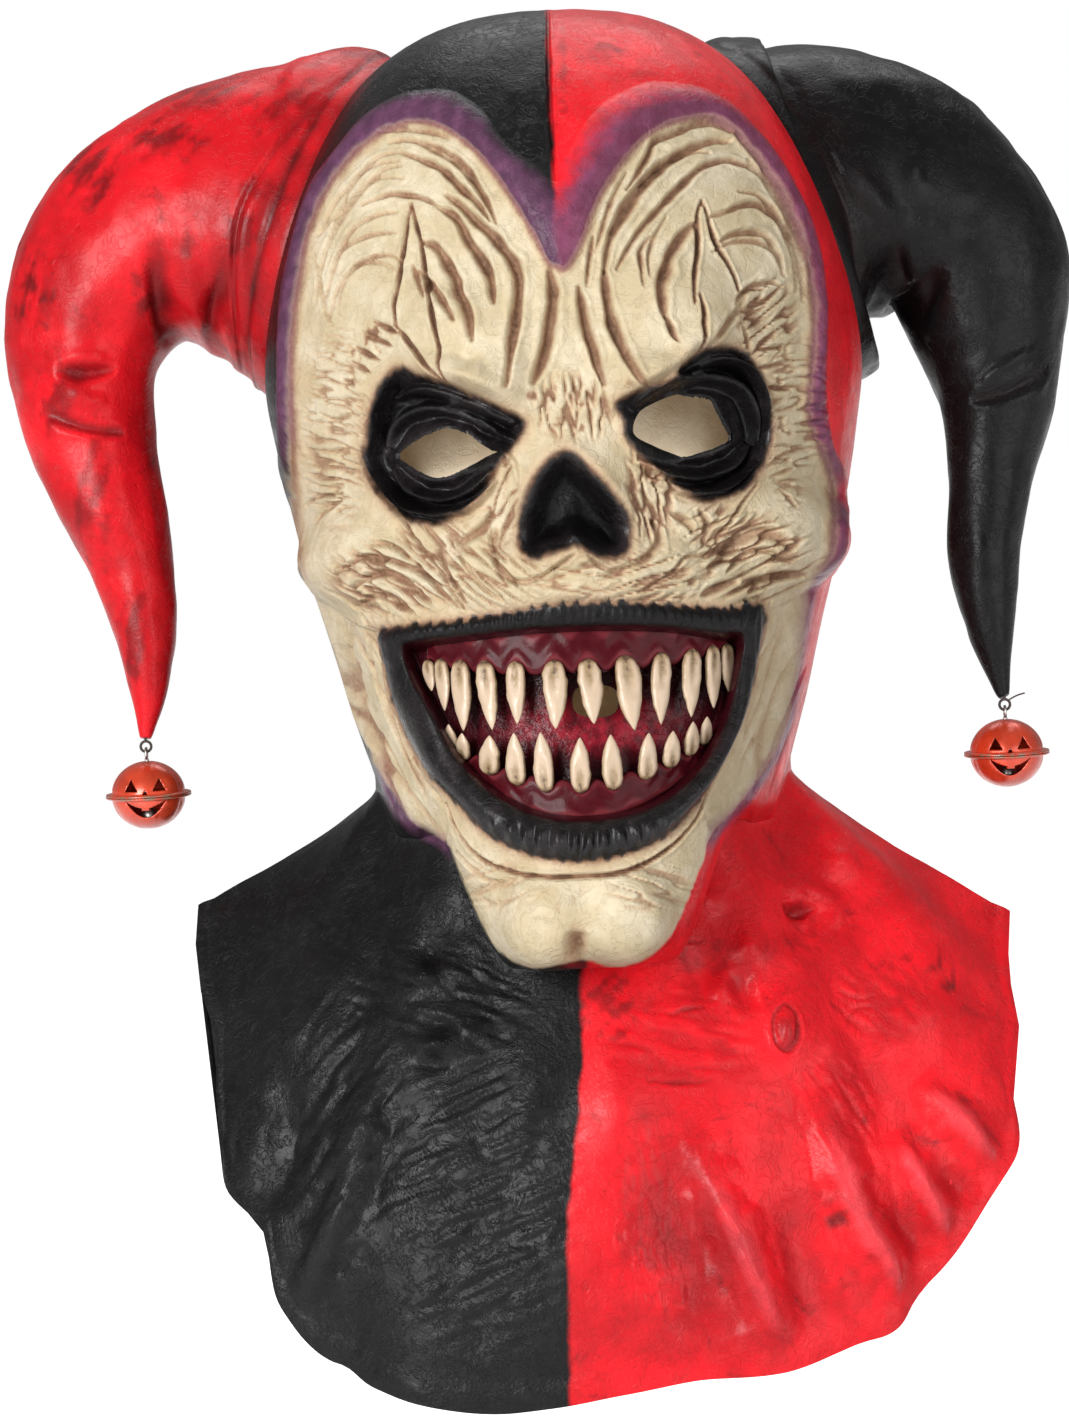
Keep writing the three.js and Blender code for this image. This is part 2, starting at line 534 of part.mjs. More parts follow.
function gum(size, lipDown, block) {
  const rings = Array.from({ length: GUM.sections + 1 }, (_, k) => {
    const x = size.half_x * ((2 * k) / GUM.sections - 1);
    const bow = (x / size.half_x) ** 2;
    const top = lerp(size.centre_top, size.end_top, bow);
    const bottom = lerp(size.centre_bottom, size.end_bottom, bow);
    const [lip, root] = lipDown ? [bottom, top] : [top, bottom];
    return [
      facePoint(x, root, GUM.back_lift),
      facePoint(x, lip, GUM.back_lift),
      facePoint(x, lip, GUM.lip_lift),
      facePoint(x, lerp(lip, root, 0.35), GUM.front_lift),
      facePoint(x, lerp(lip, root, 0.8), GUM.front_lift),
    ];
  });
  return solidOf(loftRings(rings)).subtract(block);
}

function fang(row, block) {
  const rings = FANG_PROFILE.map(({ along, share }) => {
    const x = lerp(row.x, row.tip_x, along);
    const z = lerp(row.root_z, row.tip_z, along);
    const lift = lerp(FANG.root_lift, FANG.tip_lift, along);
    const half = (row.width / 2) * share;
    return Array.from({ length: FANG.sides }, (_, k) => {
      const turn = (2 * Math.PI * k) / FANG.sides;
      return facePoint(x + half * Math.cos(turn), z, lift + half * FANG.depth_share * Math.sin(turn));
    });
  });
  return solidOf(loftRings(rings)).subtract(block);
}

// Bells, each built about its own thread eye and then hung from its horn

function tie() {
  const stemLength = TIE.stem_set + TIE.drop - TIE.eye_radius;
  const stem = new THREE.CylinderGeometry(TIE.stem_radius, TIE.stem_radius, stemLength, 8);
  stem.rotateX(Math.PI / 2).translate(0, 0, TIE.eye_radius + stemLength / 2);
  const eye = new THREE.TorusGeometry(TIE.eye_radius, TIE.thread_radius, 5, 10).rotateX(Math.PI / 2);
  return solidOf(stem).add(solidOf(eye));
}

// Heights below the thread eye's centre, from the way the two loops hang in each other.
const WIRE_REST = TIE.eye_radius - TIE.thread_radius - SEAT_GAP - SHANK.wire_radius;
const SHANK_CENTRE = -WIRE_REST - SHANK.ring_radius;
const BELL_TOP = SHANK_CENTRE - SHANK.ring_radius - SHANK.wire_radius - SEAT_GAP;
const BELL_CENTRE = BELL_TOP - BELL.radius * BELL.height_share;

function bellArc(radius, from, to) {
  return Array.from({ length: BELL_ARC_STEPS + 1 }, (_, k) => {
    const angle = lerp(from, to, k / BELL_ARC_STEPS);
    return new THREE.Vector2(radius * Math.cos(angle), radius * BELL.height_share * Math.sin(angle));
  });
}

// Half a bell: way is 1 for the cap and -1 for the cup, and hole is the radius left open at its pole.
function bellHalf(way, hole) {
  const seam = SEAT_GAP / 2;
  const inside = BELL.radius - BELL.wall;
  const outerPole = Math.acos(hole / BELL.radius);
  const innerPole = Math.acos(hole / inside);
  const flangeTop = seam + BELL.flange_half;
  const start = Math.asin(flangeTop / (BELL.radius * BELL.height_share));
  const startIn = Math.asin(seam / (inside * BELL.height_share));
  const profile = [
    ...bellArc(BELL.radius, outerPole, start),
    new THREE.Vector2(BELL.flange, flangeTop),
    new THREE.Vector2(BELL.flange, seam),
    ...bellArc(inside, startIn, innerPole),
  ];
  profile.push(profile[0].clone());
  profile.forEach((p) => p.setY(p.y * way));
  const lathe = facingOut(new THREE.LatheGeometry(profile, BELL.turns).rotateX(Math.PI / 2));
  return solidOf(lathe.translate(0, 0, BELL_CENTRE));
}

function cutFeature(shape) {
  return cutThrough(shape, -BELL.flange, BELL.flange, 4).translate([0, 0, BELL_CENTRE]);
}

function triangle(x, z, halfX, halfZ) {
  return new THREE.Shape().moveTo(x - halfX, z - halfZ).lineTo(x + halfX, z - halfZ).lineTo(x, z + halfZ);
}

function grin() {
  const g = BELL_GRIN;
  return new THREE.Shape()
    .moveTo(-g.half_x, g.top_z + g.curl)
    .quadraticCurveTo(0, 2 * g.bottom_z - g.top_z, g.half_x, g.top_z + g.curl)
    .quadraticCurveTo(g.half_x / 2, g.top_z - g.curl, g.tooth_half_x, g.top_z - g.curl)
    .lineTo(g.tooth_half_x, g.tooth_z)
    .lineTo(-g.tooth_half_x, g.tooth_z)
    .lineTo(-g.tooth_half_x, g.top_z - g.curl)
    .quadraticCurveTo(-g.half_x / 2, g.top_z - g.curl, -g.half_x, g.top_z + g.curl);
}

function bellCap() {
  const { x, z, half_x: halfX, half_z: halfZ } = BELL_EYE;
  return bellHalf(1, SHANK.hole_radius)
    .subtract(cutFeature(triangle(-x, z, halfX, halfZ)))
    .subtract(cutFeature(triangle(x, z, halfX, halfZ)))
    .subtract(cutFeature(triangle(0, BELL_NOSE.z, BELL_NOSE.half_x, BELL_NOSE.half_z)));
}

function bellCup() {
  const drain = 0.8;
  return bellHalf(-1, drain).subtract(cutFeature(grin()));
}

function bellShank() {
  const ring = new THREE.TorusGeometry(SHANK.ring_radius, SHANK.wire_radius, 5, 10);
  ring.rotateY(Math.PI / 2).translate(0, 0, SHANK_CENTRE);
  const stemTop = SHANK_CENTRE - SHANK.ring_radius;
  const headTop = BELL_TOP - BELL.wall - 2 * SEAT_GAP;
  const stemLength = stemTop - headTop + SHANK_HEAD_THICK / 2;
  const stem = new THREE.CylinderGeometry(SHANK.stem_radius, SHANK.stem_radius, stemLength, 8);
  stem.rotateX(Math.PI / 2).translate(0, 0, stemTop - stemLength / 2);
  const head = new THREE.CylinderGeometry(SHANK.head_radius, SHANK.head_radius, SHANK_HEAD_THICK, 10);
  head.rotateX(Math.PI / 2).translate(0, 0, headTop - SHANK_HEAD_THICK / 2);
  return solidOf(ring).add(solidOf(stem)).add(solidOf(head));
}

function bellPellet() {
  const floor = BELL_CENTRE - (BELL.radius - BELL.wall) * BELL.height_share;
  return new THREE.IcosahedronGeometry(PELLET_RADIUS, 1).translate(0, 0, floor + PELLET_RADIUS + SEAT_GAP);
}

// Assembly

const materials = Object.fromEntries(
  Object.entries(FINISHES).map(([name, finish]) => [name, new THREE.MeshStandardMaterial(finish)]),
);
const mask = new THREE.Group();

function addPart(parent, name, shape, finish) {
  const geometry = shape.isBufferGeometry ? shape : geometryOf(shape);
  const mesh = new THREE.Mesh(geometry, materials[finish]);
  mesh.name = name;
  parent.add(mesh);
}

const block = headBlock();
addPart(mask, 'mask_shell', maskShell(), 'latex');
addPart(mask, 'horn_red', horn(HORN_STATIONS.red, block), 'red');
addPart(mask, 'horn_black', horn(HORN_STATIONS.black, block), 'black');
addPart(mask, 'gum_upper', gum(GUMS.upper, true, block), 'gum');
addPart(mask, 'gum_lower', gum(GUMS.lower, false, block), 'gum');

const numbered = (name, k) => `${name}_${String(k + 1).padStart(2, '0')}`;
UPPER_FANGS.forEach((row, k) => addPart(mask, numbered('fang_upper', k), fang(row, block), 'fang'));
LOWER_FANGS.forEach((row, k) => addPart(mask, numbered('fang_lower', k), fang(row, block), 'fang'));

Object.entries(HORN_STATIONS).forEach(([side, stations]) => {
  const tip = stations.at(-1);
  const hung = new THREE.Group();
  hung.position.set(tip.x, tip.y, tip.z - TIE.drop);
  addPart(hung, `tie_${side}`, tie(), 'thread');
  addPart(hung, `bell_${side}_cap`, bellCap(), 'pumpkin');
  addPart(hung, `bell_${side}_cup`, bellCup(), 'pumpkin');
  addPart(hung, `bell_${side}_shank`, bellShank(), 'steel');
  addPart(hung, `bell_${side}_pellet`, bellPellet(), 'steel');
  mask.add(hung);
});

export default mask;
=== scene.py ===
"""Looks of a full-head jester clown mask: painted latex skin, cap horns, gums, fangs and pumpkin bells."""

import math

import bmesh
import bpy
import numpy as np
from mathutils import Matrix, Vector


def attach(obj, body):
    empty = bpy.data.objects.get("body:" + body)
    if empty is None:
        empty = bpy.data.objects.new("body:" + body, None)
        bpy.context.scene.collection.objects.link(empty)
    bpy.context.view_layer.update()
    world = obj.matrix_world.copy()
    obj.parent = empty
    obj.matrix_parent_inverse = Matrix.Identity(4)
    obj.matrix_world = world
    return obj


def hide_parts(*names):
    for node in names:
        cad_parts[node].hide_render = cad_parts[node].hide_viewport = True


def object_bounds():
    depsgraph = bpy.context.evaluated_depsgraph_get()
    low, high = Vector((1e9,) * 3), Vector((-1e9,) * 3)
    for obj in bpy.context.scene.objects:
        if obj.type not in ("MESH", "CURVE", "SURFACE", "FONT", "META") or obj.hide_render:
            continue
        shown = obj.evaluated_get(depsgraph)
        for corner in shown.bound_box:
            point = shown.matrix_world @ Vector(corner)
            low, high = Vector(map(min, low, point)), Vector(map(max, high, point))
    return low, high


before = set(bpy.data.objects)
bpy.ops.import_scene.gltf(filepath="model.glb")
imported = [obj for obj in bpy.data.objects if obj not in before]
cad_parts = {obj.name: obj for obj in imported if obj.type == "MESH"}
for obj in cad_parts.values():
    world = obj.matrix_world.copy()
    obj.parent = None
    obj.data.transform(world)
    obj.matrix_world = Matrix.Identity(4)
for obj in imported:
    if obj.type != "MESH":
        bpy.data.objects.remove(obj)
CAD_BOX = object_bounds()

bl_info = {
    "name": "Jester Mask",
    "version": (1, 0, 0),
    "blender": (4, 5, 0),
    "location": "View3D > Sidebar > Jester Mask",
    "description": "Builds the painted skin, horns, teeth and bells of a full-head jester clown mask",
    "category": "Add Mesh",
}

MM = 0.001

# Head sections from crown to neckline, as in the solids, in mm: front height, side height, half width,
# front and back reach, and a taper that narrows the front.
HEAD_SECTIONS = np.array([
    (2.5, 2.5, 0, 0, 0, 1),
    (-2, -2, 34, 36, 38, 1),
    (-16, -15, 60, 64, 66, 1),
    (-42, -38, 80, 88, 90, 0.97),
    (-75, -68, 94.5, 103, 107, 0.95),
    (-108, -98, 103, 110, 116, 0.95),
    (-138, -126, 106.5, 113, 119, 0.95),
    (-165, -150, 103.5, 113, 117, 0.95),
    (-195, -172, 99.5, 114, 113, 1),
    (-225, -196, 94.5, 118, 106, 1.05),
    (-258, -220, 88, 123, 97, 1.15),
    (-292, -244, 82, 127, 88, 1.25),
    (-318, -264, 76, 125, 80, 1.3),
    (-327, -268, 75, 100, 79, 1.2),
    (-312, -272, 75, 66, 79, 1),
], float)
NECK_ROW = len(HEAD_SECTIONS) - 1
CHIN_SIDE_DEG = (20, 50)
NECK_DROP = 6
JAW_DROP = 14
JAW_SAG = 15

# The bib's hem: angle from the front in degrees, x, y, z and bulge in mm.
HEM = np.array([
    (-180, 0, 112, -400, 10),
    (-150, -72, 100, -390, 10),
    (-120, -122, 56, -340, 6),
    (-96, -139, 6, -311, -3),
    (-88, -141.5, -14, -331, 3),
    (-80, -131, -30, -360, 8),
    (-72, -132, -44, -391.5, 12),
    (-66, -131, -54, -406, 14),
    (-60, -114.5, -64, -418, 16),
    (-54, -111.5, -72, -445, 17),
    (-46, -95.5, -82, -461.5, 17),
    (-34, -74, -92, -472, 16),
    (-20, -46, -100, -478, 15),
    (-8, -22, -103, -477, 15),
    (4, 5, -104, -473, 15),
    (16, 30, -101, -470, 15),
    (30, 64, -94, -469, 16),
    (42, 90.5, -82, -460.5, 17),
    (50, 107, -76, -450, 17),
    (58, 124.5, -64, -427, 16),
    (66, 144, -54, -405, 14),
    (74, 141, -42, -384, 12),
    (82, 148.5, -28, -362, 8),
    (89, 148.5, -12, -344.5, 3),
    (96, 150, 6, -327, -3),
    (120, 128, 56, -355, 6),
    (150, 72, 100, -390, 10),
    (180, 0, 112, -400, 10),
], float)

# Depth of the hem's scallops in mm, and how many would go all the way round.
HEM_SCALLOP, HEM_SCALLOP_COUNT = 1.3, 34

# Flutes of the bib: angle and half width in degrees, rise in mm.
BIB_FLUTES = (
    (-78, 9, 4), (-58, 10, 4), (-30, 12, 3), (24, 10, 3), (43, 9, 5),
    (59, 8, 5), (75, 9, 5), (-140, 14, 3), (140, 14, 3),
)

# Main forms of the face: x, z, half width, half height, tilt in degrees, rise, level share of the form.
FACE_FORMS = (
    (-36, -112, 34, 26, -24, 8, 0.1), (36, -112, 34, 26, 24, 8, 0.1), (-20, -131, 17, 15, -30, 6, 0),
    (20, -131, 17, 15, 30, 6, 0), (1, -170, 27, 30, 0, 7, 0.35), (-78, -187, 26, 21, 12, 8.5, 0.15),
    (78, -187, 26, 21, -12, 11, 0.15), (0, -194, 60, 17, 0, 5, 0.3), (-15, -309, 19, 21, 0, 8, 0.2),
    (13, -309, 19, 21, 0, 8, 0.2),
)

# Dents and lumps round the base of the neck, as the face forms.
BIB_FORMS = (
    (-52, -318, 17, 15, 20, -2.5, 0), (-50, -352, 20, 15, 0, 3, 0), (74, -322, 18, 13, -25, -2.5, 0),
    (40, -336, 13, 19, 15, -3, 0), (66, -357, 14, 18, 0, 3, 0),
)

# Small lumps and hollows of the bib, drawn on the front sketch: centre and half sizes in pixels, rise in mm.
BIB_LUMPS = (
    (427, 955, 22, 16, -3.4), (425, 977, 15, 12, 3.5), (437, 1024, 26, 13, -3.4), (436, 1045, 19, 13, 4.0),
    (431, 1064, 22, 11, -2.0), (300, 1030, 60, 60, 2.5), (520, 1090, 40, 60, 2.0), (350, 1250, 50, 70, 2.0),
    (620, 1100, 34, 60, 2.0), (930, 1010, 50, 50, 2.5), (330, 975, 40, 32, 1.6), (838, 862, 28, 20, 3.6),
    (704, 902, 22, 20, 2.8), (750, 947, 20, 22, 3.0), (719, 990, 17, 22, 3.0), (797, 914, 18, 10, -1.6),
)

# Small lumps of the face, drawn in the same way: the brow lobes over the eyes and the folds beside the nose.
FACE_LUMPS = (
    (464, 378, 50, 24, 5.0), (652, 372, 44, 24, 5.0), (516, 360, 13, 44, 1.4), (566, 340, 16, 60, 1.2),
    (598, 350, 12, 40, 1.2), (720, 318, 34, 26, 2.0), (372, 300, 34, 30, 1.6), (468, 552, 24, 20, 1.8),
    (676, 548, 26, 18, 1.8), (420, 556, 40, 18, 1.6), (735, 520, 34, 18, 1.6), (575, 590, 60, 14, 1.4),
)

# The front sketch that the outlines and wrinkles below are drawn on. It is the camera's own picture.
SKETCH_WIDTH, SKETCH_HEIGHT = 1069, 1417
SKETCH_CENTRE = (SKETCH_WIDTH / 2, SKETCH_HEIGHT / 2)
SKETCH_AXIS = 45.5
SKETCH_FOCAL = 4167
SKETCH_MM = 0.342
VIEW_DISTANCE = 1500
VIEW_CENTRE_Z = -246.1
VIEW_RISE_DEG = 4
VIEW_LEAN_DEG = 2.8
VIEW_PLACE = np.array([
    0,
    -VIEW_DISTANCE * math.cos(math.radians(VIEW_RISE_DEG)),
    VIEW_CENTRE_Z + VIEW_DISTANCE * math.sin(math.radians(VIEW_RISE_DEG)),
])


def path(text):
    """A drawn line from its corners, "x,y x,y ..." in sketch pixels."""
    return np.array([[float(v) for v in pair.split(",")] for pair in text.split()])


FACE_OUTLINE = path(
    "290,330 289,389 291,449 292,518 296,557 306,587 330,643 343,693 363,739 380,772 409,819 446,842 453,855 "
    "462,878 479,918 499,951 529,968 559,965 576,962 592,962 618,968 652,955 675,928 691,892 705,858 711,835 "
    "741,802 771,759 791,709 801,659 807,616 815,579 822,571 834,550 836,514 832,473 820,442 811,412 813,371 "
    "816,325 813,284 805,243 789,202 771,172 752,147 730,125 707,115 687,117 662,125 638,141 613,172 595,202 "
    "579,243 566,266 557,264 549,260 535,233 516,202 496,172 474,147 447,127 423,120 404,121 378,131 353,151 "
    "329,182 308,223 296,284"
)
CAP_EDGE = path(
    "279,330 278,389 279,449 280,518 284,560 296,592 318,650 331,698 351,745 369,779 400,827 437,851 444,860 "
    "454,882 470,923 492,958 527,977 560,974 576,971 592,971 620,977 658,962 683,932 700,896 714,862 721,840 "
    "751,807 781,763 801,712 811,662 818,618 826,584 832,577 845,552 847,514 843,473 831,442 826,391 826,345 "
    "824,284 818,243 803,202 781,162 758,131 740,111 720,96 695,86 654,82 628,90 603,104 587,121 575,141 "
    "562,162 556,182 537,166 529,162 504,141 490,121 474,104 449,91 416,91 388,100 359,121 335,151 312,182 "
    "298,223 283,284"
)
SOCKETS = (
    path(
        "391,369 367,409 363,441 359,457 365,480 383,504 403,518 430,524 454,516 478,498 497,464 523,429 "
        "513,415 478,399 448,385 418,376"
    ),
    path(
        "618,403 642,391 671,379 683,365 707,350 736,348 752,356 766,379 773,412 775,440 766,465 752,485 "
        "728,497 707,501 687,491 662,473 642,454 628,436 626,420"
    ),
)
EYE_HOLES = (
    path(
        "395,457 403,447 418,437 438,429 456,426 470,435 486,447 499,450 486,457 470,466 444,478 426,477 "
        "408,468"
    ),
    path(
        "634,434 638,414 654,403 675,395 691,394 711,397 720,412 726,424 733,439 720,448 703,454 687,458 "
        "671,453 654,446"
    ),
)
BREATH_SLOT = path("572,700 577,688 596,684 615,688 620,701 615,713 596,718 577,713")
NOSE_HOLE = path(
    "570,452 591,469 607,487 622,506 630,526 630,546 622,556 607,558 589,552 575,543 566,548 553,552 537,557 "
    "523,553 518,538 522,510 530,485 545,463 558,454"
)
LIP_OUTLINE = path(
    "378,634 399,627 466,619 532,609 582,603 632,603 681,606 728,609 763,606 757,660 745,705 728,746 705,792 "
    "671,832 632,852 582,862 532,855 489,835 453,799 423,766 399,716 384,664"
)
MOUTH_OPENING = path(
    "402,648 419,640 466,635 532,628 598,625 665,626 715,632 744,636 738,680 722,735 700,772 668,800 630,816 "
    "582,822 535,816 490,793 455,758 430,712 412,680"
)
CHEEK_HOLLOWS = (
    path(
        "302,590 330,604 354,622 382,634 388,690 412,756 446,804 446,842 409,819 380,772 363,739 343,693 "
        "330,643"
    ),
    path(
        "826,578 800,594 774,608 761,640 750,700 729,752 706,796 711,835 741,802 771,759 791,709 801,659 "
        "812,605"
    ),
)

# Wrinkles of the face: half width in sketch pixels, depth in mm, strength of the brown wash, and the drawn
# line. A negative depth raises a ridge.
FOREHEAD_LINES = (
    (2.1, 0.7, 0.65, "331,219 353,176 376,154 398,150"),
    (3.2, 1.2, 0.9, "398,150 421,158 441,168 459,186 476,202 489,219"),
    (3.0, 1.1, 0.9, "422,140 441,147 459,160 472,178 484,198 495,221"),
    (2.1, 0.7, 0.75, "380,131 404,127 433,131 447,136"),
    (2.0, 0.7, 0.55, "316,231 331,202 351,178 372,162 396,159"),
    (2.6, 0.9, 0.8, "359,203 372,197 388,192 404,193 423,197 437,206"),
    (4.4, 1.5, 1, "437,206 453,215 464,235 478,256 488,274 492,301"),
    (4.8, 1.6, 1, "445,194 459,204 474,219 494,237 510,258 518,276 517,300 512,335 508,366 506,386"),
    (4.8, 1.6, 1, "421,241 433,245 443,260 451,274 457,292 466,313 470,339"),
    (3.4, 1.2, 0.9, "417,270 429,284 439,298 451,319"),
    (2.5, 0.8, 0.85, "410,264 421,296"),
    (2.0, 1.1, 1.3, "409,202 405,219 403,235 400,256 396,284 392,304 393,323"),
    (2.0, 1.1, 1.3, "409,202 414,223 419,243 423,270 427,296 433,329 441,360 451,382"),
    (2.1, 0.7, 0.75, "335,304 339,286 351,266 370,256 388,254 400,262"),
    (2.0, 0.7, 0.65, "329,264 341,247 359,237 376,232 392,231"),
    (2.0, 0.7, 0.55, "310,253 316,284 321,311 329,325"),
    (2.0, 0.7, 0.55, "314,235 331,215 353,194 376,176 400,176"),
    (5.2, 1.7, 1, "549,270 553,294 549,325 543,356 533,382"),
    (2.4, 1.1, 1.3, "393,325 412,349 433,370 447,382"),
    (4.6, 1.6, 1, "579,286 583,309 589,335 597,362 605,384"),
    (2.2, 0.8, 0.85, "594,235 589,264 587,284"),
    (3.0, 1.1, 0.9, "732,131 716,122 699,122 679,130 656,139 650,153 638,174 628,188"),
    (4.6, 1.5, 1, "732,139 716,138 695,145 673,158 654,174 638,192 626,211 616,227 609,245 605,270"),
    (4.6, 1.5, 1, "605,270 607,290 611,315 618,335 628,356 638,378 646,386"),
    (
        3.0, 1.1, 0.90,
        "765,176 754,166 740,160 724,158 703,166 687,180 671,196 654,215 640,231 628,249 618,268",
    ),
    (2.2, 0.8, 0.75, "652,235 642,249 643,264 645,284"),
    (5.2, 1.6, 1, "695,223 681,239 671,258 665,280 664,300 667,315"),
    (2.7, 1.0, 0.95, "667,315 673,327 679,341"),
    (2.3, 1.0, 1.3, "704,199 700,211 699,229 700,249 697,272 697,302"),
    (2.0, 1.1, 1.3, "704,199 709,211 713,227 720,247 730,262 738,278 741,290"),
    (1.9, 1.0, 1.3, "702,292 705,309 704,331 701,345 697,354"),
    (2.2, 0.8, 0.75, "742,189 758,192 771,202 783,219 795,239"),
    (2.9, 1.0, 0.85, "711,215 728,211 744,204 760,203 775,213 787,227 797,243"),
    (2.9, 1.0, 0.75, "722,241 736,233 752,231 766,233 779,247 785,264"),
    (2.6, 1.0, 0.8, "738,304 746,292 760,284 775,281 785,286"),
    (2.2, 0.8, 0.85, "744,325 750,341 752,349"),
    (2.8, 1.0, 0.7, "709,347 724,329 736,313 748,296"),
    (2.1, 0.7, 0.75, "628,170 611,202 601,235 595,251"),
    (2.0, 0.7, 0.65, "736,133 760,162 781,194 797,227 805,260"),
    (2.2, 0.8, 0.65, "315,268 326,240 340,214 358,190 380,168 398,163"),
    (2.2, 0.8, 0.65, "322,297 328,270 338,246 352,226 372,214 394,210"),
    (2.0, 0.7, 0.6, "326,319 333,292 342,276 359,263 378,262 392,268"),
    (2.0, 0.7, 0.55, "312,300 316,270 326,238 342,206 362,180"),
    (2.2, 0.8, 0.7, "386,140 410,138 432,148 452,160 468,178"),
    (2.2, 0.8, 0.65, "800,290 798,262 790,238 778,216 762,202"),
    (2.2, 0.8, 0.65, "806,300 803,268 796,236 784,206 768,180 750,158"),
    (2.2, 0.8, 0.65, "716,250 732,242 748,239 764,242 778,252 788,275"),
    (2.0, 0.7, 0.6, "668,216 656,236 650,256 652,276"),
    (2.2, 0.8, 0.7, "610,232 622,206 640,182 664,160 690,150 712,150"),
)
TEMPLE_LINES = (
    (2.4, 0.9, 1, "372,321 396,333"),
    (2.4, 0.9, 1, "361,333 388,345"),
    (2.4, 0.9, 1, "353,347 376,360"),
    (2.2, 0.8, 0.9, "349,362 366,372"),
    (2.0, 0.7, 0.9, "341,380 351,386"),
    (1.8, 0.6, 0.7, "325,423 345,417"),
    (1.8, 0.6, 0.7, "312,460 331,462"),
    (1.8, 0.6, 0.7, "306,476 320,480 337,480"),
    (1.8, 0.7, 0.7, "302,506 314,498 328,496 339,494"),
    (1.8, 0.7, 0.7, "312,524 320,514 337,502"),
    (2.0, 0.8, 0.9, "760,349 785,347"),
    (2.0, 0.8, 0.9, "764,368 780,364 793,360"),
    (2.0, 0.8, 0.9, "769,386 793,390"),
    (1.8, 0.7, 0.9, "745,318 767,306"),
    (1.8, 0.7, 0.8, "746,330 768,317"),
    (1.8, 0.6, 0.7, "771,467 791,452"),
    (1.8, 0.6, 0.7, "775,477 795,469"),
    (1.8, 0.7, 0.8, "787,493 801,508"),
)
CHEEK_LINES = (
    (1.8, 0.9, 0.8, "355,453 365,476 383,502 399,520 414,540 434,563 449,586 464,609"),
    (2.8, 1.3, 0.9, "333,577 347,565 363,557 383,559 403,565 422,573 438,589 458,607"),
    (4.2, 1.6, 0.9, "355,587 367,577 383,573 399,579 414,589 430,603"),
    (3.2, 1.3, 0.9, "357,607 371,597 387,595 403,605 414,613"),
    (2.2, 0.9, 0.7, "367,546 383,545 399,550 414,559"),
    (2.2, 1.0, 0.8, "438,544 440,557 450,577 466,603"),
    (4.2, 1.1, 0.8, "458,544 470,536 482,528 490,514"),
    (2.7, 1.1, 0.7, "490,530 492,548 497,567 513,581 537,579 557,567"),
    (2.2, 0.9, 0.6, "458,548 466,567 482,587 502,601"),
    (1.7, 0.8, 0.8, "760,485 746,503 732,520 720,540 707,556"),
    (1.7, 0.8, 0.7, "707,556 687,557 675,571 654,585 638,593"),
    (6.0, 1.6, 0.8, "713,567 728,554 744,540 765,532 781,536 793,546"),
    (2.7, 1.2, 0.8, "728,571 740,559 756,550 773,552 781,561"),
    (4.2, 1.4, 0.9, "744,583 765,579 785,575 805,575"),
    (3.7, 1.1, 0.8, "703,595 720,587 736,581"),
    (2.5, 0.9, 0.8, "689,585 697,579"),
    (4.2, 1.3, 0.8, "654,522 660,534 658,546 646,559 632,567"),
    (3.7, 1.1, 0.8, "673,514 687,520 695,532"),
    (2.7, 1.0, 0.7, "701,510 709,524 705,534"),
    (2.2, 0.9, 0.7, "546,573 560,565 575,554"),
    (2.2, 0.9, 0.7, "589,556 601,567 616,571"),
    (2.4, -0.8, 0, "501,449 513,464 517,484"),
)
JAW_LINES = (
    (1.9, 0.9, 0.5, "340,620 343,666 360,719 380,759 409,799 446,842"),
    (1.9, 0.9, 0.5, "356,626 363,673 380,719 403,762 433,802 456,835"),
    (1.7, 0.7, 0.4, "370,640 376,676 396,726 416,765"),
    (1.7, 0.7, 0.4, "333,646 346,703 366,746 395,782"),
    (1.7, 0.5, 0.3, "771,610 771,659 758,716 731,772 705,819"),
    (1.7, 0.5, 0.3, "790,622 786,670 772,720 748,765"),
    (1.9, 1.2, 1.15, "446,805 459,835 486,862 525,875 575,877 625,872 665,852 695,822 708,792"),
    (1.7, 0.7, 0.6, "456,852 479,875 506,885"),
    (7.6, 2.2, 0.75, "577,931 577,946 577,962"),
)
# Lid folds inside the black sockets.
LID_LINES = (
    (10, -2.6, 0, "400,360 430,364 462,374 492,388 520,406"),
    (10, -2.6, 0, "626,392 656,376 676,360 700,340 732,336"),
    (4.6, -2.8, 0, "394,470 412,490 440,499 468,491 490,472"),
    (4.0, -2.4, 0, "384,482 406,506 440,513 472,505 494,482"),
    (5.4, -3.0, 0, "388,446 398,424 422,409 452,410 480,422 510,438"),
    (4.4, -2.4, 0, "396,398 420,390 452,398 486,412 512,424"),
    (4.6, -2.8, 0, "642,462 668,474 700,477 730,466 748,446"),
    (4.0, -2.4, 0, "652,479 690,491 725,486 756,462"),
    (5.4, -3.0, 0, "634,406 662,386 700,377 736,386 752,410 756,440"),
    (4.4, -2.4, 0, "690,372 722,360 750,372 764,400 766,430"),
)
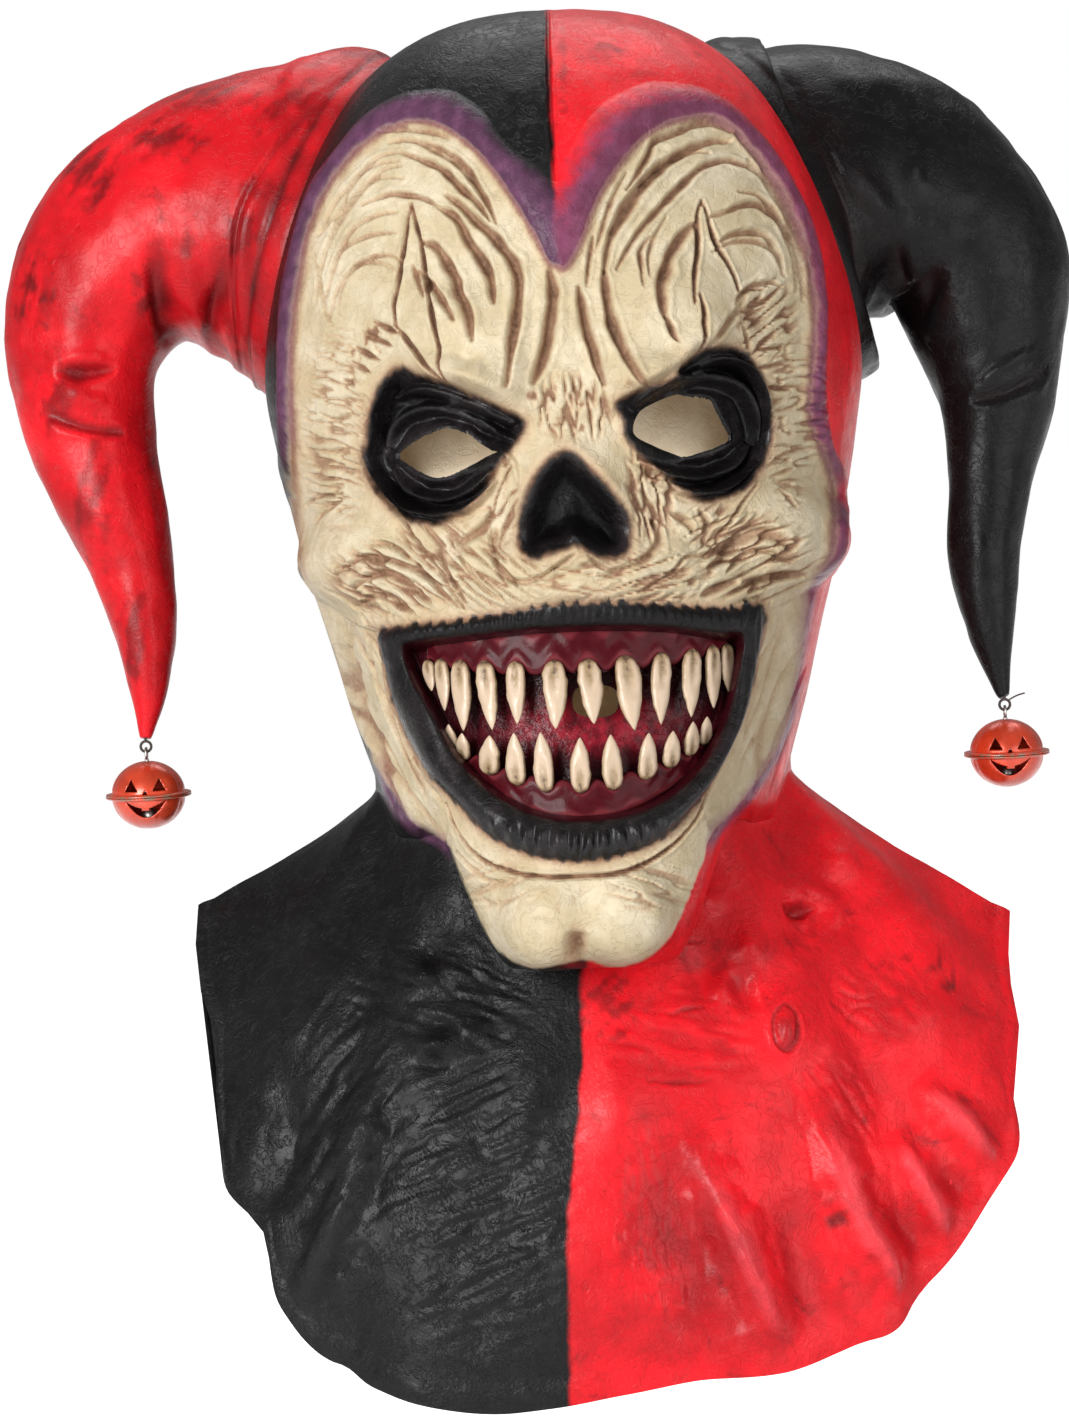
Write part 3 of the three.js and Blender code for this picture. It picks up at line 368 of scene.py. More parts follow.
# Folds, cracks and lumps of the bib.
# Their wash is painted shade in the wide valleys and dents, and dark marks along the cracks and the oval
# scar.
BIB_LINES = (
    (17, -3.6, 0, "890,1133 921,1188 954,1252"),
    (15, -3.2, 0, "918,1078 957,1121 1004,1172"),
    (17, -3.6, 0, "816,1085 853,1206 884,1261 899,1310"),
    (20, -4.0, 0, "682,1129 707,1176 750,1273 786,1359"),
    (7.5, -1.5, 0, "890,1133 921,1188 950,1246"),
    (7.5, -1.4, 0, "918,1078 957,1121 1000,1168"),
    (7.5, -1.5, 0, "853,1206 884,1261 896,1300"),
    (7.5, -1.4, 0, "707,1176 750,1273 784,1352"),
    (34, 2.8, 0.62, "661,1151 688,1225 735,1340"),
    (20, 2.4, 0.5, "786,1194 805,1270 822,1332"),
    (15, 2.4, 0.45, "893,1200 915,1232 934,1258"),
    (12, 2.0, 0.35, "942,1170 965,1192 984,1208"),
    (44, 0.8, 0.42, "600,1330 680,1345 760,1345"),
    (17, -4.4, 0, "375,1065 345,1205 298,1312"),
    (19, 3.4, 0.2, "300,1080 285,1170 272,1215"),
    (6, 1.8, 0.7, "786,906 797,910 810,909"),
    (9, -1.4, 0, "774,890 800,889 828,900 836,914 822,930"),
    (10, 2.2, 0.4, "741,966 745,988 750,1012"),
    (2.5, 0.7, 0.8, "786,1004 797,1015 797,1038 787,1050 776,1040 775,1016 785,1004"),
    (6, -0.8, 0.25, "786,1014 786,1040"),
    (2.0, 0.4, 0.6, "669,1016 686,1010 704,1008"),
    (2.0, 0.4, 0.6, "648,1081 680,1083 713,1081"),
    (2.0, 0.4, 0.5, "661,943 680,941 700,943"),
    (2.0, 0.4, 0.5, "842,992 859,999 876,996"),
    (2.0, 0.4, 0.4, "850,1010 866,1006 880,1014"),
)
CAP_LINES = ((2.2, 0.6, 0.3, "548,14 549,80 552,140 556,180"),)
HEAD_LINES = FOREHEAD_LINES + TEMPLE_LINES + CHEEK_LINES + JAW_LINES + LID_LINES + CAP_LINES

# Fields of fine wrinkles on the front sketch: centre and half sizes, the way the wrinkles run in degrees,
# their length and spacing in pixels, depth in mm, strength of the wash.
FACE_FIELDS = (
    (395, 578, 88, 50, 26, 46, 10, 1.0, 0.9), (760, 560, 76, 60, -26, 42, 11, 1.0, 0.95),
    (490, 574, 70, 46, 36, 40, 9, 0.8, 0.75), (652, 580, 70, 40, -20, 36, 9, 0.8, 0.8),
    (382, 720, 66, 150, 62, 95, 9, 0.8, 0.75), (768, 700, 50, 135, 110, 95, 9, 0.6, 0.5),
    (332, 430, 42, 135, 6, 20, 9, 0.7, 0.65), (797, 420, 34, 115, -12, 20, 9, 0.7, 0.7),
    (770, 318, 42, 58, -42, 24, 10, 0.9, 0.9), (652, 490, 34, 70, 72, 26, 10, 0.9, 0.9),
    (500, 500, 26, 66, 112, 26, 10, 0.8, 0.8), (573, 408, 56, 46, 80, 26, 10, 0.8, 0.85),
    (650, 888, 60, 30, 14, 34, 11, 0.5, 0.6), (500, 885, 50, 34, -24, 30, 11, 0.5, 0.5),
    (430, 535, 50, 34, 40, 30, 9, 0.8, 0.7), (720, 530, 46, 34, -35, 30, 9, 0.8, 0.75),
    (575, 580, 60, 30, 0, 30, 9, 0.7, 0.7),
)
BIB_FIELDS = (
    (480, 1190, 115, 190, -24, 46, 15, 0.55, 0), (330, 1130, 90, 170, -55, 60, 20, 0.6, 0),
    (655, 1230, 60, 130, 76, 24, 13, 0.25, 0.1), (830, 1110, 60, 70, 56, 34, 14, 0.35, 0.2),
    (680, 1040, 90, 60, 4, 46, 17, 0.4, 0.3), (880, 1000, 60, 60, 40, 30, 14, 0.35, 0.3),
    (440, 1000, 110, 80, 15, 40, 15, 0.5, 0),
)

# Rubbed dirt: centre and half sizes in sketch pixels, strength.
FACE_DIRT = (
    (372, 335, 20, 16, 0.9), (352, 352, 12, 14, 0.7), (752, 318, 20, 22, 0.6), (345, 572, 26, 16, 0.5),
    (372, 598, 26, 12, 0.6), (786, 556, 24, 18, 0.6), (745, 575, 26, 12, 0.5), (575, 398, 26, 16, 0.5),
    (548, 412, 14, 20, 0.4), (604, 420, 12, 24, 0.5), (652, 520, 16, 30, 0.5), (498, 545, 18, 24, 0.45),
    (528, 395, 12, 10, 0.8), (628, 385, 10, 10, 0.6),
    (600, 62, 34, 14, 0.35), (640, 74, 30, 12, 0.3), (563, 70, 8, 60, 0.5), (690, 92, 30, 12, 0.3),
)
BIB_DIRT = (
    (842, 1221, 16, 12, 0.9), (933, 969, 14, 12, 0.8), (946, 988, 12, 10, 0.8), (808, 1133, 14, 12, 0.7),
    (604, 1010, 46, 40, 0.7), (690, 1290, 60, 100, 0.4), (765, 1330, 50, 80, 0.3), (640, 1200, 40, 100, 0.35),
    (850, 1290, 50, 50, 0.4), (786, 1030, 16, 26, 0.6), (690, 960, 60, 26, 0.4),
)
HORN_DIRT = {
    "red": (
        (88, 170, 34, 40, 0.75), (164, 140, 44, 28, 0.7), (33, 293, 22, 60, 0.8), (247, 222, 36, 60, 0.7),
        (178, 236, 24, 40, 0.6), (140, 304, 24, 40, 0.75), (95, 500, 24, 80, 0.55), (135, 640, 20, 70, 0.6),
        (300, 110, 56, 44, 0.6), (200, 92, 70, 26, 0.6), (60, 400, 30, 40, 0.6), (240, 360, 26, 50, 0.6),
    ),
    "black": ((933, 301, 30, 36, 0.5), (905, 290, 24, 40, 0.5)),
}

# How much wider the wrinkles are than drawn, and how much deeper on the face than elsewhere.
LINE_SPREAD = 1.25
FACE_LINE_DEPTH = 1.4

# Pitted, mottled patches of the face: centre and half sizes in sketch pixels, strength.
PITTED_PATCHES = (
    (573, 415, 46, 40, 1.0), (640, 480, 22, 40, 0.8), (505, 490, 18, 36, 0.6), (366, 345, 26, 36, 0.8),
    (768, 330, 24, 36, 0.7), (330, 480, 26, 40, 0.5), (690, 530, 40, 34, 0.5), (560, 905, 70, 34, 0.45),
    (500, 900, 36, 30, 0.5),
)

# Cap horns from inside the cap to the tip, as in the solids: x, y, z and radius.
HORN_STATIONS = {
    "red": np.array([
        (-40, 34, -72, 52), (-67, 34, -71, 65), (-94.5, 34, -69, 63), (-112, 34, -67, 56),
        (-131.5, 33, -68, 49.2), (-152.3, 31, -75.6, 41.1), (-167, 28, -90.7, 34),
        (-174.8, 24, -115.7, 26.8), (-171.2, 19, -147, 22.2), (-162, 14, -177.5, 17.3),
        (-156, 9, -207, 12.6), (-155, 5, -232, 8), (-156.5, 3, -246, 3.6), (-157, 2, -250, 2),
    ], float),
    "black": np.array([
        (34, 34, -75, 54), (61, 34, -75, 67), (87.5, 34, -73, 65.6), (102.7, 34, -69, 58.4),
        (121, 33, -70, 49.2), (137, 31, -77.6, 41.6), (151, 28, -93.2, 35), (154.6, 24, -117.7, 28.8),
        (155.6, 19, -147, 20.2), (152.6, 14, -173, 15.5), (148.5, 9, -201, 12.8), (149.5, 5, -226, 8.8),
        (152, 3, -246, 3.6), (153, 2, -250, 2),
    ], float),
}
HORN_DEPTH_SHARE = 0.86
# Folds and creases of the horns as the face's wrinkles; their wash is painted shade, and a dark line along
# the base flange.
HORN_LINES = {
    "red": (
        (7, 2.4, 0.9, "60,371 84,374 110,370"),
        (9, -1.6, 0, "56,392 80,400 108,402"),
        (5, 1.8, 0.8, "44,411 79,426 123,433"),
        (9, 2.8, 0.9, "154,249 158,290 166,331 178,354"),
        (8, 2.0, 0.7, "228,263 220,293 212,331 217,359"),
        (14, -2.0, 0, "190,250 188,300 196,345"),
        (2.4, 0.8, 0.5, "362,66 302,110 274,150 240,212 234,277 238,340 247,400"),
    ),
    "black": (
        (9, 2.8, 0.5, "892,243 896,271 911,321"),
        (8, 2.2, 0.5, "940,268 926,299 914,326"),
        (13, -1.8, 0, "837,149 870,190 904,233"),
        (10, -1.4, 0, "913,146 918,194"),
        (4, -1.2, 0, "984,380 1010,363 1036,346"),
        (6, 1.6, 0.4, "975,400 1008,392 1044,372"),
        (2.4, 0.8, 0.4, "778,62 811,112 836,165 853,200"),
    ),
}

# Gums: half width, then top and bottom at the middle and at the ends.
GUMS = {"upper": (58, -210, -223, -216, -223), "lower": (51, -264.6, -275, -253, -259)}
GUM_BACK_LIFT, GUM_FRONT_LIFT, GUM_LIP_LIFT, GUM_SCALLOP = -18, -8.5, -11, 3.4

# Fangs where the solids have them: root x and z, tip x and z, width at the root.
FANGS = {
    "upper": (
        (-57, -223.5, -54, -232.6, 4.4), (-51.5, -223, -49.5, -239, 5),
        (-43.8, -223.5, -42.8, -245.3, 6.8), (-34.6, -223.5, -32.2, -244.6, 6.6),
        (-23.3, -223.5, -23, -242.6, 6.8), (-8.7, -223.5, -9.2, -244.4, 8.6),
        (3.9, -223.5, 4.8, -243.3, 8.4), (17.7, -223.5, 19.4, -246.4, 9), (31, -223.5, 29.1, -245.4, 6.8),
        (42.5, -223.5, 40.2, -244.2, 6.6), (51, -223.2, 49, -242.5, 5.6), (57, -223.5, 55, -238, 4.6),
    ),
    "lower": (
        (-50, -253, -48.5, -243.5, 4.6), (-45.5, -254.9, -43.5, -246.2, 5),
        (-35.5, -258.9, -33.3, -246.6, 7.2), (-25.5, -261.7, -24.5, -245.6, 6.8),
        (-14.8, -263.5, -14.8, -245.4, 7.2), (-1.2, -264.2, -0.6, -247.6, 7.4),
        (11.5, -263.9, 10.6, -247.2, 7.4), (24.5, -261.9, 24.5, -247.8, 6.8),
        (33.8, -259.4, 33.3, -248, 5.8), (41.5, -256.5, 40.8, -245.8, 5.2), (47.5, -254, 46.3, -244.9, 4.4),
    ),
}
FANG_ROOT_LIFT, FANG_TIP_LIFT, FANG_DEPTH_SHARE = -8, -5.2, 0.6
FANG_FULLNESS, FANG_ROOT_REACH = 1.08, 0.1
FANG_PROFILE = np.array([
    (0, 0.2), (0.03, 0.5), (0.08, 0.74), (0.18, 0.94), (0.32, 1), (0.52, 0.93), (0.7, 0.74), (0.86, 0.44),
    (0.96, 0.18), (1, 0.04),
])

# Thread and bells, as in the solids.
TIE_STEM, TIE_STEM_SET, TIE_EYE, TIE_THREAD, TIE_DROP = 0.55, 9, 1.9, 0.5, 3.1
BELL_RADIUS, BELL_HEIGHT_SHARE, BELL_WALL = 13.2, 0.93, 0.9
BELL_FLANGE, BELL_FLANGE_HALF, BELL_SEAM = 15.4, 0.7, 0.15
SHANK_RING, SHANK_WIRE, SHANK_STEM, SHANK_HOLE, SHANK_CENTRE = 1.9, 0.5, 0.75, 1.1, -2.5
BELL_TOP = -5.2
BELL_CENTRE = BELL_TOP - BELL_RADIUS * BELL_HEIGHT_SHARE
BELL_ARC_STEPS = 26
PLATE_RADIUS, PLATE_HALF, PLATE_GAP = 1.9, 0.4, 0.6
PELLET_RADIUS, PELLET_LIFT = 3.4, 0.3

# Lines and columns of the skin.
FACE_SIDE_DEG = 72
FRONT_COLUMNS = 360
BACK_COLUMNS = 72
CROWN_LINES = 12
FACE_ROWS = (2.4, 5.4, 8.6, 13.2)
FACE_LINES = 480
THROAT_LINES = 8
BIB_ROWS = 190

# The lining takes every fourth line of the skin, and is pulled back behind the face by so many mm at most,
# but not in the columns at the sides. The paint wraps round the hem between these lines from the end.
LINING_STEP, LINING_PULL, LINING_SIDE_COLUMNS = 4, 14, 10
RIM_LINES = (60, 35)

# How far the seam of black and red leans over the bib, in metres.
SEAM_LEAN = 15 * MM

# A distance inside an outline that stands for far outside.
FAR_OUTSIDE = -99.0

# The camera's sensor, and half the floor's side in metres.
SENSOR_MM = 36
FLOOR_HALF = 30


class MaskColours(bpy.types.PropertyGroup):
    """Paint and material colours of the mask."""

    def colour(label, words, default):
        return bpy.props.FloatVectorProperty(
            name=label, description=words, default=default, subtype="COLOR", min=0, max=1, size=3
        )

    cream: colour("Cream", "Bare face latex", (0.62, 0.53, 0.37))
    wash: colour("Wash", "Brown wash rubbed into the wrinkles", (0.26, 0.135, 0.08))
    purple: colour("Purple", "Airbrushed cap edge", (0.15, 0.055, 0.115))
    red: colour("Red", "Red latex of the cap, bib and horn", (0.88, 0.011, 0.02))
    black: colour("Black", "Black latex of the cap, bib and horn", (0.006, 0.006, 0.0064))
    ink: colour("Ink", "Black paint of the sockets, nose and lips", (0.007, 0.006, 0.006))
    maroon: colour("Maroon", "Gums and the inside of the mouth", (0.085, 0.006, 0.011))
    ivory: colour("Ivory", "Fangs", (0.60, 0.46, 0.34))
    pumpkin: colour("Pumpkin", "Lacquer of the bells", (0.66, 0.055, 0.016))
    lining: colour("Lining", "Unpainted latex inside", (0.80, 0.69, 0.52))
    thread: colour("Thread", "Thread of the bells", (0.05, 0.04, 0.035))


class MaskSizes(bpy.types.PropertyGroup):
    """Sizes of the mask that a user may change."""

    def length(label, words, default):
        return bpy.props.FloatProperty(
            name=label, description=words, default=default, unit="LENGTH", min=0, soft_max=0.02, precision=4
        )

    def share(label, words, default):
        return bpy.props.FloatProperty(name=label, description=words, default=default, min=0, max=3)

    skin_wall: length("Skin wall", "Thickness of the latex", 2.5 * MM)
    socket_depth: length("Socket depth", "How deep the eye sockets sink", 13 * MM)
    nose_depth: length("Nose depth", "How deep the nose hole sinks", 12 * MM)
    mouth_depth: length("Mouth depth", "How deep the grin sinks behind the lips", 16 * MM)
    lip_rise: length("Lip rise", "How far the lips roll out", 3.4 * MM)
    cap_edge_rise: length("Cap edge rise", "Height of the rolled cap edge", 2.4 * MM)
    wrinkle_depth: share("Wrinkle depth", "Depth of every wrinkle, as a share of the drawn one", 1.4)
    bell_rib: length("Bell rib", "Height of the pumpkin ribs", 0.35 * MM)


class StageSetup(bpy.types.PropertyGroup):
    """Camera and studio light."""

    def power(label, words, default):
        return bpy.props.FloatProperty(name=label, description=words, default=default, min=0, subtype="POWER")

    key_power: power("Key light", "Soft light from the upper left", 27)
    fill_power: power("Fill light", "Soft light from the right", 13)
    top_power: power("Top light", "Soft light from above and behind", 13)
    inside_power: power("Inside light", "Light that reaches the inside of the head", 0.034)
    sky: bpy.props.FloatProperty(
        name="Sky", description="Strength of the white surround", default=0.28, min=0
    )
    floor_drop: bpy.props.FloatProperty(
        name="Floor drop", description="Gap between the hem and the floor", default=0.08, unit="LENGTH", min=0
    )
    floor_glow: bpy.props.FloatProperty(
        name="Floor glow", description="Light of the lit white floor itself", default=0.75, min=0
    )


# Curves and distances


def smoothstep(low, high, value):
    t = np.clip((value - low) / (high - low), 0, 1)
    return t * t * (3 - 2 * t)


def hump(value, middle, half):
    """A smooth hump of height 1."""
    return np.exp(-(((value - middle) / half) ** 2))


def unit(vectors):
    return vectors / np.maximum(np.linalg.norm(vectors, axis=-1, keepdims=True), 1e-9)


def full_turn(steps):
    """Even angles once round."""
    return np.linspace(0, 2 * math.pi, steps + 1)[:-1]


def oval_reach(px, py, oval):
    """How far out points lie from an oval's centre, with its edge at 1."""
    cx, cy, half_x, half_y = oval
    return np.hypot((px - cx) / half_x, (py - cy) / half_y)


def read_rows(rows, position):
    """Rows of a table read at fractional places, on the same curve as the solids."""
    last = len(rows) - 1
    position = np.asarray(position, float)
    index = np.clip(np.floor(position).astype(int), 0, last - 1)
    t = (position - index)[..., None]
    a, b, c, d = (rows[np.clip(index + k, 0, last)] for k in (-1, 0, 1, 2))
    u = 1 - t
    values = b * (1 + 2 * t) * u * u + c * (3 - 2 * t) * t * t
    return values + (c - a) / 2 * t * u * u - (d - b) / 2 * t * t * u


def rounded(line, closed, steps=4):
    """A drawn line with its corners rounded off."""
    ends = 1 if closed else 0
    loop = np.vstack([line[-1:], line, line[:2]]) if closed else line
    places = np.linspace(ends, ends + len(line) - 1 + ends, (len(line) - 1 + ends) * steps + 1)
    return read_rows(loop, places)


def line_distance(line, px, py):
    """Distance from points to a line, and how far along it, from 0 to 1, the nearest place is."""
    lengths = np.hypot(*np.diff(line, axis=0).T)
    before = np.concatenate([[0], np.cumsum(lengths)])
    best = np.full(px.shape, 1e9)
    along = np.zeros(px.shape)
    for (ax, ay), (bx, by), start, length in zip(line[:-1], line[1:], before, lengths):
        if length < 1e-9:
            continue
        t = np.clip(((px - ax) * (bx - ax) + (py - ay) * (by - ay)) / length**2, 0, 1)
        gap = np.hypot(px - ax - t * (bx - ax), py - ay - t * (by - ay))
        nearer = gap < best
        best = np.where(nearer, gap, best)
        along = np.where(nearer, (start + t * length) / before[-1], along)
    return best, along


def inside_mm(outline, px, py):
    """How far points lie inside a closed outline, in mm; negative outside."""
    ring = rounded(outline, True)
    gap, _ = line_distance(ring, px, py)
    inside = np.zeros(px.shape, bool)
    for (ax, ay), (bx, by) in zip(ring[:-1], ring[1:]):
        if ay == by:
            continue
        crosses = ((ay > py) != (by > py)) & (px < (bx - ax) * (py - ay) / (by - ay) + ax)
        inside ^= crosses
    return np.where(inside, gap, -gap) * SKETCH_MM


def beside(line, margin, px, py):
    """True for points within a margin of a line's box."""
    low, high = line.min(axis=0) - margin, line.max(axis=0) + margin
    return (px > low[0]) & (px < high[0]) & (py > low[1]) & (py < high[1])


def near_outline(outline, px, py, margin=60):
    """The same, worked out only near the outline; far points count as far outside."""
    near = beside(outline, margin, px, py)
    depth = np.full(px.shape, -margin * SKETCH_MM)
    depth[near] = inside_mm(outline, px[near], py[near])
    return depth


def lattice_noise(points, cell, seed):
    """Smooth noise from -1 to 1 over points in mm, with cells of that size."""
    grid = points / cell
    base = np.floor(grid)
    part = grid - base
    part = part * part * (3 - 2 * part)
    total = np.zeros(points.shape[:-1])
    for corner in np.ndindex(2, 2, 2):
        at = base + np.array(corner)
        mixed = at @ np.array([127.1, 311.7, 74.7]) + 19.19 * seed
        value = np.modf(np.sin(mixed) * 43758.5453)[0]
        weight = np.prod(np.where(np.array(corner) == 1, part, 1 - part), axis=-1)
        total += weight * value
    return total


# The plain head and bib


def plain_head(row, angle):
    """Points of the head before its face is modelled, at section rows and angles from the front."""
    section = read_rows(HEAD_SECTIONS, row)
    z_front, z_side, half_width, front, back, taper = np.moveaxis(section, -1, 0)
    ahead = np.cos(angle)
    reach = front * np.maximum(ahead, 1e-9) ** taper
    y = np.where(ahead > 0, -reach, -back * ahead)
    start, end = np.radians(CHIN_SIDE_DEG)
    aside = np.abs(angle)
    frontness = 1 - smoothstep(start, end, aside)
    at_jaw = smoothstep(0.6, 0.9, aside) * (1 - smoothstep(1.05, 1.35, aside))
    z = z_side + (z_front - z_side) * frontness - JAW_SAG * at_jaw * smoothstep(10.2, 13, row)
    return np.stack([half_width * np.sin(angle), y, z], axis=-1)


def plain_bib(share, angle):
    """Points of the bib before its dents, from the neckline at share 0 to the hem at 1."""
    share, angle = np.broadcast_arrays(share, angle)
    neck = plain_head(np.full(angle.shape, float(NECK_ROW)), angle)
    degrees = np.degrees(angle)
    places = np.interp(degrees, HEM[:, 0], np.arange(len(HEM)))
    hem = read_rows(HEM, places)
    end, bulge = hem[..., 1:4], hem[..., 4:5]
    flat = np.stack([np.sin(angle), -np.cos(angle), np.zeros(angle.shape)], axis=-1)
    outward = unit(flat + np.array([0, 0, 0.4]))
    aside = np.abs(degrees)
    drop = NECK_DROP + JAW_DROP * smoothstep(22, 42, aside) * (1 - smoothstep(56, 78, aside))
    below = neck - np.stack([np.zeros(angle.shape), np.zeros(angle.shape), drop], axis=-1)
    bend = neck + (end - neck) * 0.55 + outward * 1.4 * bulge
    t = share[..., None]
    u = 1 - t
    point = u**3 * neck + 3 * u * u * t * below + 3 * u * t * t * bend + t**3 * end
    flute = np.zeros(angle.shape)
    for centre, half, rise in BIB_FLUTES:
        flute += rise * (1 - smoothstep(0, 1, np.abs(degrees - centre) / half))
    at_side = smoothstep(34, 46, aside) * (1 - smoothstep(84, 94, aside)) * smoothstep(0.75, 1, share)
    scallop = HEM_SCALLOP * np.sin(HEM_SCALLOP_COUNT * angle + 2 * np.sin(3 * angle)) * at_side
    ragged = unit(end - neck) * scallop[..., None]
    return point + ragged + flat * (flute * share**1.5)[..., None]


def normals_of(surface, along, angle, step=0.02):
    """Normals of a plain surface, from points a step away."""
    down = surface(along + step, angle) - surface(along - step, angle)
    around = surface(along, angle + step) - surface(along, angle - step)
    return unit(-np.cross(around, down))


def grid_normals(points):
    """Normals of a grid of skin points."""
    down = np.gradient(points, axis=0, edge_order=2)
    around = np.gradient(points, axis=1, edge_order=2)
    return unit(-np.cross(around, down))


def face_point(x, z, lift):
    """Points on the plain face, found from where they are seen from the front."""
    x, z, lift = np.broadcast_arrays(np.asarray(x, float), z, lift)
    low, high = np.full(x.shape, 3.0), np.full(x.shape, 12.0)

    def angle_at(row):
        return np.arcsin(np.clip(x / read_rows(HEAD_SECTIONS, row)[..., 2], -1, 1))

    for _ in range(24):
        row = (low + high) / 2
        above = plain_head(row, angle_at(row))[..., 2] > z
        low, high = np.where(above, row, low), np.where(above, high, row)
    angle = angle_at(low)
    return plain_head(low, angle) + normals_of(plain_head, low, angle) * lift[..., None]


def seen_at(points):
    """Where points in mm are seen on the front sketch, in its pixels."""
    rise, lean = math.radians(VIEW_RISE_DEG), math.radians(VIEW_LEAN_DEG)
    x, y, z = np.moveaxis(points - VIEW_PLACE, -1, 0)
    depth = y * math.cos(rise) - z * math.sin(rise)
    across = SKETCH_AXIS + SKETCH_FOCAL * x / depth
    down = -SKETCH_FOCAL * (y * math.sin(rise) + z * math.cos(rise)) / depth
    px = SKETCH_CENTRE[0] + across * math.cos(lean) + down * math.sin(lean)
    py = SKETCH_CENTRE[1] - across * math.sin(lean) + down * math.cos(lean)
    return px, py


# Modelled and painted detail of the skin


def form_rise(forms, x, z):
    """Rise of the main forms in mm."""
    total = np.zeros(x.shape)
    for form_x, form_z, half_x, half_z, tilt_deg, rise, plateau in forms:
        tilt = math.radians(tilt_deg)
        dx, dz = x - form_x, z - form_z
        along = (dx * math.cos(tilt) + dz * math.sin(tilt)) / half_x
        across = (dz * math.cos(tilt) - dx * math.sin(tilt)) / half_z
        total += rise * (1 - smoothstep(plateau, 1, np.hypot(along, across)))
    return total


def draw_lines(lines, px, py, wobble):
    """Depth of the drawn wrinkles in mm, and the wash that lies in them."""
    relief, wash = np.zeros(px.shape), np.zeros(px.shape)
    for half_width, depth, strength, text in lines:
        line = rounded(path(text), False)
        near = beside(line, 3 * half_width + 2, px, py)
        if not near.any():
            continue
        gap, along = line_distance(line, px[near], py[near])
        fold = half_width > 7
        ends = np.sqrt(np.clip(np.sin(np.pi * np.clip(along, 0.01, 0.99)), 0, 1))
        ends = ends**1.6 if fold else 0.35 + 0.65 * ends
        taper = 1 if fold else ends
        width = np.maximum(LINE_SPREAD * half_width * taper * (1 + 0.3 * wobble[near]), 1.7)
        t = gap / width
        groove = 1 - smoothstep(0 if fold else 0.3, 1.5 if fold else 1.25, t)
        lips = hump(t, 1.7, 0.6)
        relief[near] -= depth * ends * (groove - (0 if fold else 0.25) * lips)
        painted = strength * (1 - smoothstep(0.35, 1.5, t)) * (0.9 + 0.2 * wobble[near]) * (0.5 + 0.5 * ends)
        wash[near] = np.maximum(wash[near], painted)
    return relief, wash


def flow_wrinkles(fields, px, py, edge):
    """Depth of the fields of fine wrinkles in mm, and their wash; a wider edge softens them."""
    relief, wash = np.zeros(px.shape), np.zeros(px.shape)
    for number, field in enumerate(fields):
        cx, cy, _, _, way_deg, length, spacing, depth, strength = field
        reach = oval_reach(px, py, field[:4])
        near = reach < 1
        fade = 1 - smoothstep(0.5, 1, reach[near])
        way = math.radians(way_deg)
        dx, dy = px[near] - cx, py[near] - cy
        along = dx * math.cos(way) + dy * math.sin(way)
        across = dy * math.cos(way) - dx * math.sin(way)
        place = np.stack([along / length, across / spacing, np.full(along.shape, 7.5)], axis=-1)
        value = lattice_noise(place, 1, 20 + number) + 0.35 * lattice_noise(place * 2.3, 1, 50 + number)
        line = 1 - smoothstep(0.04, edge, np.abs(value))
        relief[near] -= depth * fade * (line - 0.3)
        wash[near] = np.maximum(wash[near], strength * fade * line)
    return relief, wash


def lump_rise(lumps, px, py):
    """Rise of the small lumps in mm."""
    total = np.zeros(px.shape)
    for *oval, rise in lumps:
        total += rise * np.exp(-2.2 * oval_reach(px, py, oval) ** 2)
    return total


def dirty(spots, points, px, py):
    """Ragged spots of rubbed dirt."""
    dirt = np.zeros(px.shape)
    ragged = lattice_noise(points, 5, 12) + 0.7 * lattice_noise(points, 1.9, 13)
    for *oval, strength in spots:
        reach = oval_reach(px, py, oval)
        spot = smoothstep(0.0, 0.9, 0.85 - reach + 0.7 * ragged) * (1 - smoothstep(0.7, 1.3, reach))
        dirt = np.maximum(dirt, strength * spot)
    return dirt


def pitted(points, px, py):
    """Pits of the mottled patches in mm, and their wash."""
    strength = np.zeros(px.shape)
    for *oval, amount in PITTED_PATCHES:
        strength = np.maximum(strength, amount * (1 - smoothstep(0.3, 1, oval_reach(px, py, oval))))
    spots = np.zeros(px.shape)
    near = strength > 0
    coarse = lattice_noise(points[near], 2.6, 5)
    fine = lattice_noise(points[near], 1.3, 6)
    spots[near] = smoothstep(0.1, 0.6, 0.7 * coarse + 0.5 * fine) * strength[near]
    return -0.5 * spots, 0.75 * spots


def band_share(outer, inner):
    """How far across the band between two outlines points lie, from the outer one at 0 to the inner at 1."""
    return np.clip(outer / np.maximum(outer - inner, 1e-3), 0, 1)


class FrontView:
    """Skin points as the front sketch shows them, and how many mm they lie inside its outlines."""

    def __init__(self, points, wobble_cell=4):
        self.points = points
        self.px, self.py = seen_at(points)
        self.wobble = lattice_noise(points, wobble_cell, 2)
        self.feather = 0.7 * self.wobble + 0.5 * lattice_noise(points, 1.6, 4)
        self.face = self.inside(FACE_OUTLINE)
        self.cap = self.inside(CAP_EDGE)
        self.socket = self.inside(*SOCKETS)
        self.hole = self.inside(*EYE_HOLES)
        self.nose = self.inside(NOSE_HOLE)
        self.lip = self.inside(LIP_OUTLINE)
        self.grin = self.inside(MOUTH_OPENING)
        self.upper = 1 - smoothstep(540, 600, self.py)

    def inside(self, *outlines):
        return np.maximum.reduce([near_outline(outline, self.px, self.py) for outline in outlines])

    def edge_paint(self):
        """Feathered cream of the face, and the purple sprayed over the edge of the cap."""
        cream = smoothstep(-0.5, 0.5, self.face + 0.3 * self.feather)
        sprayed = smoothstep(-0.1, 0.7, band_share(self.cap, self.face) + 0.12 * self.feather)
        return cream, sprayed * (1 - smoothstep(835, 865, self.py)) * (self.cap > 0)


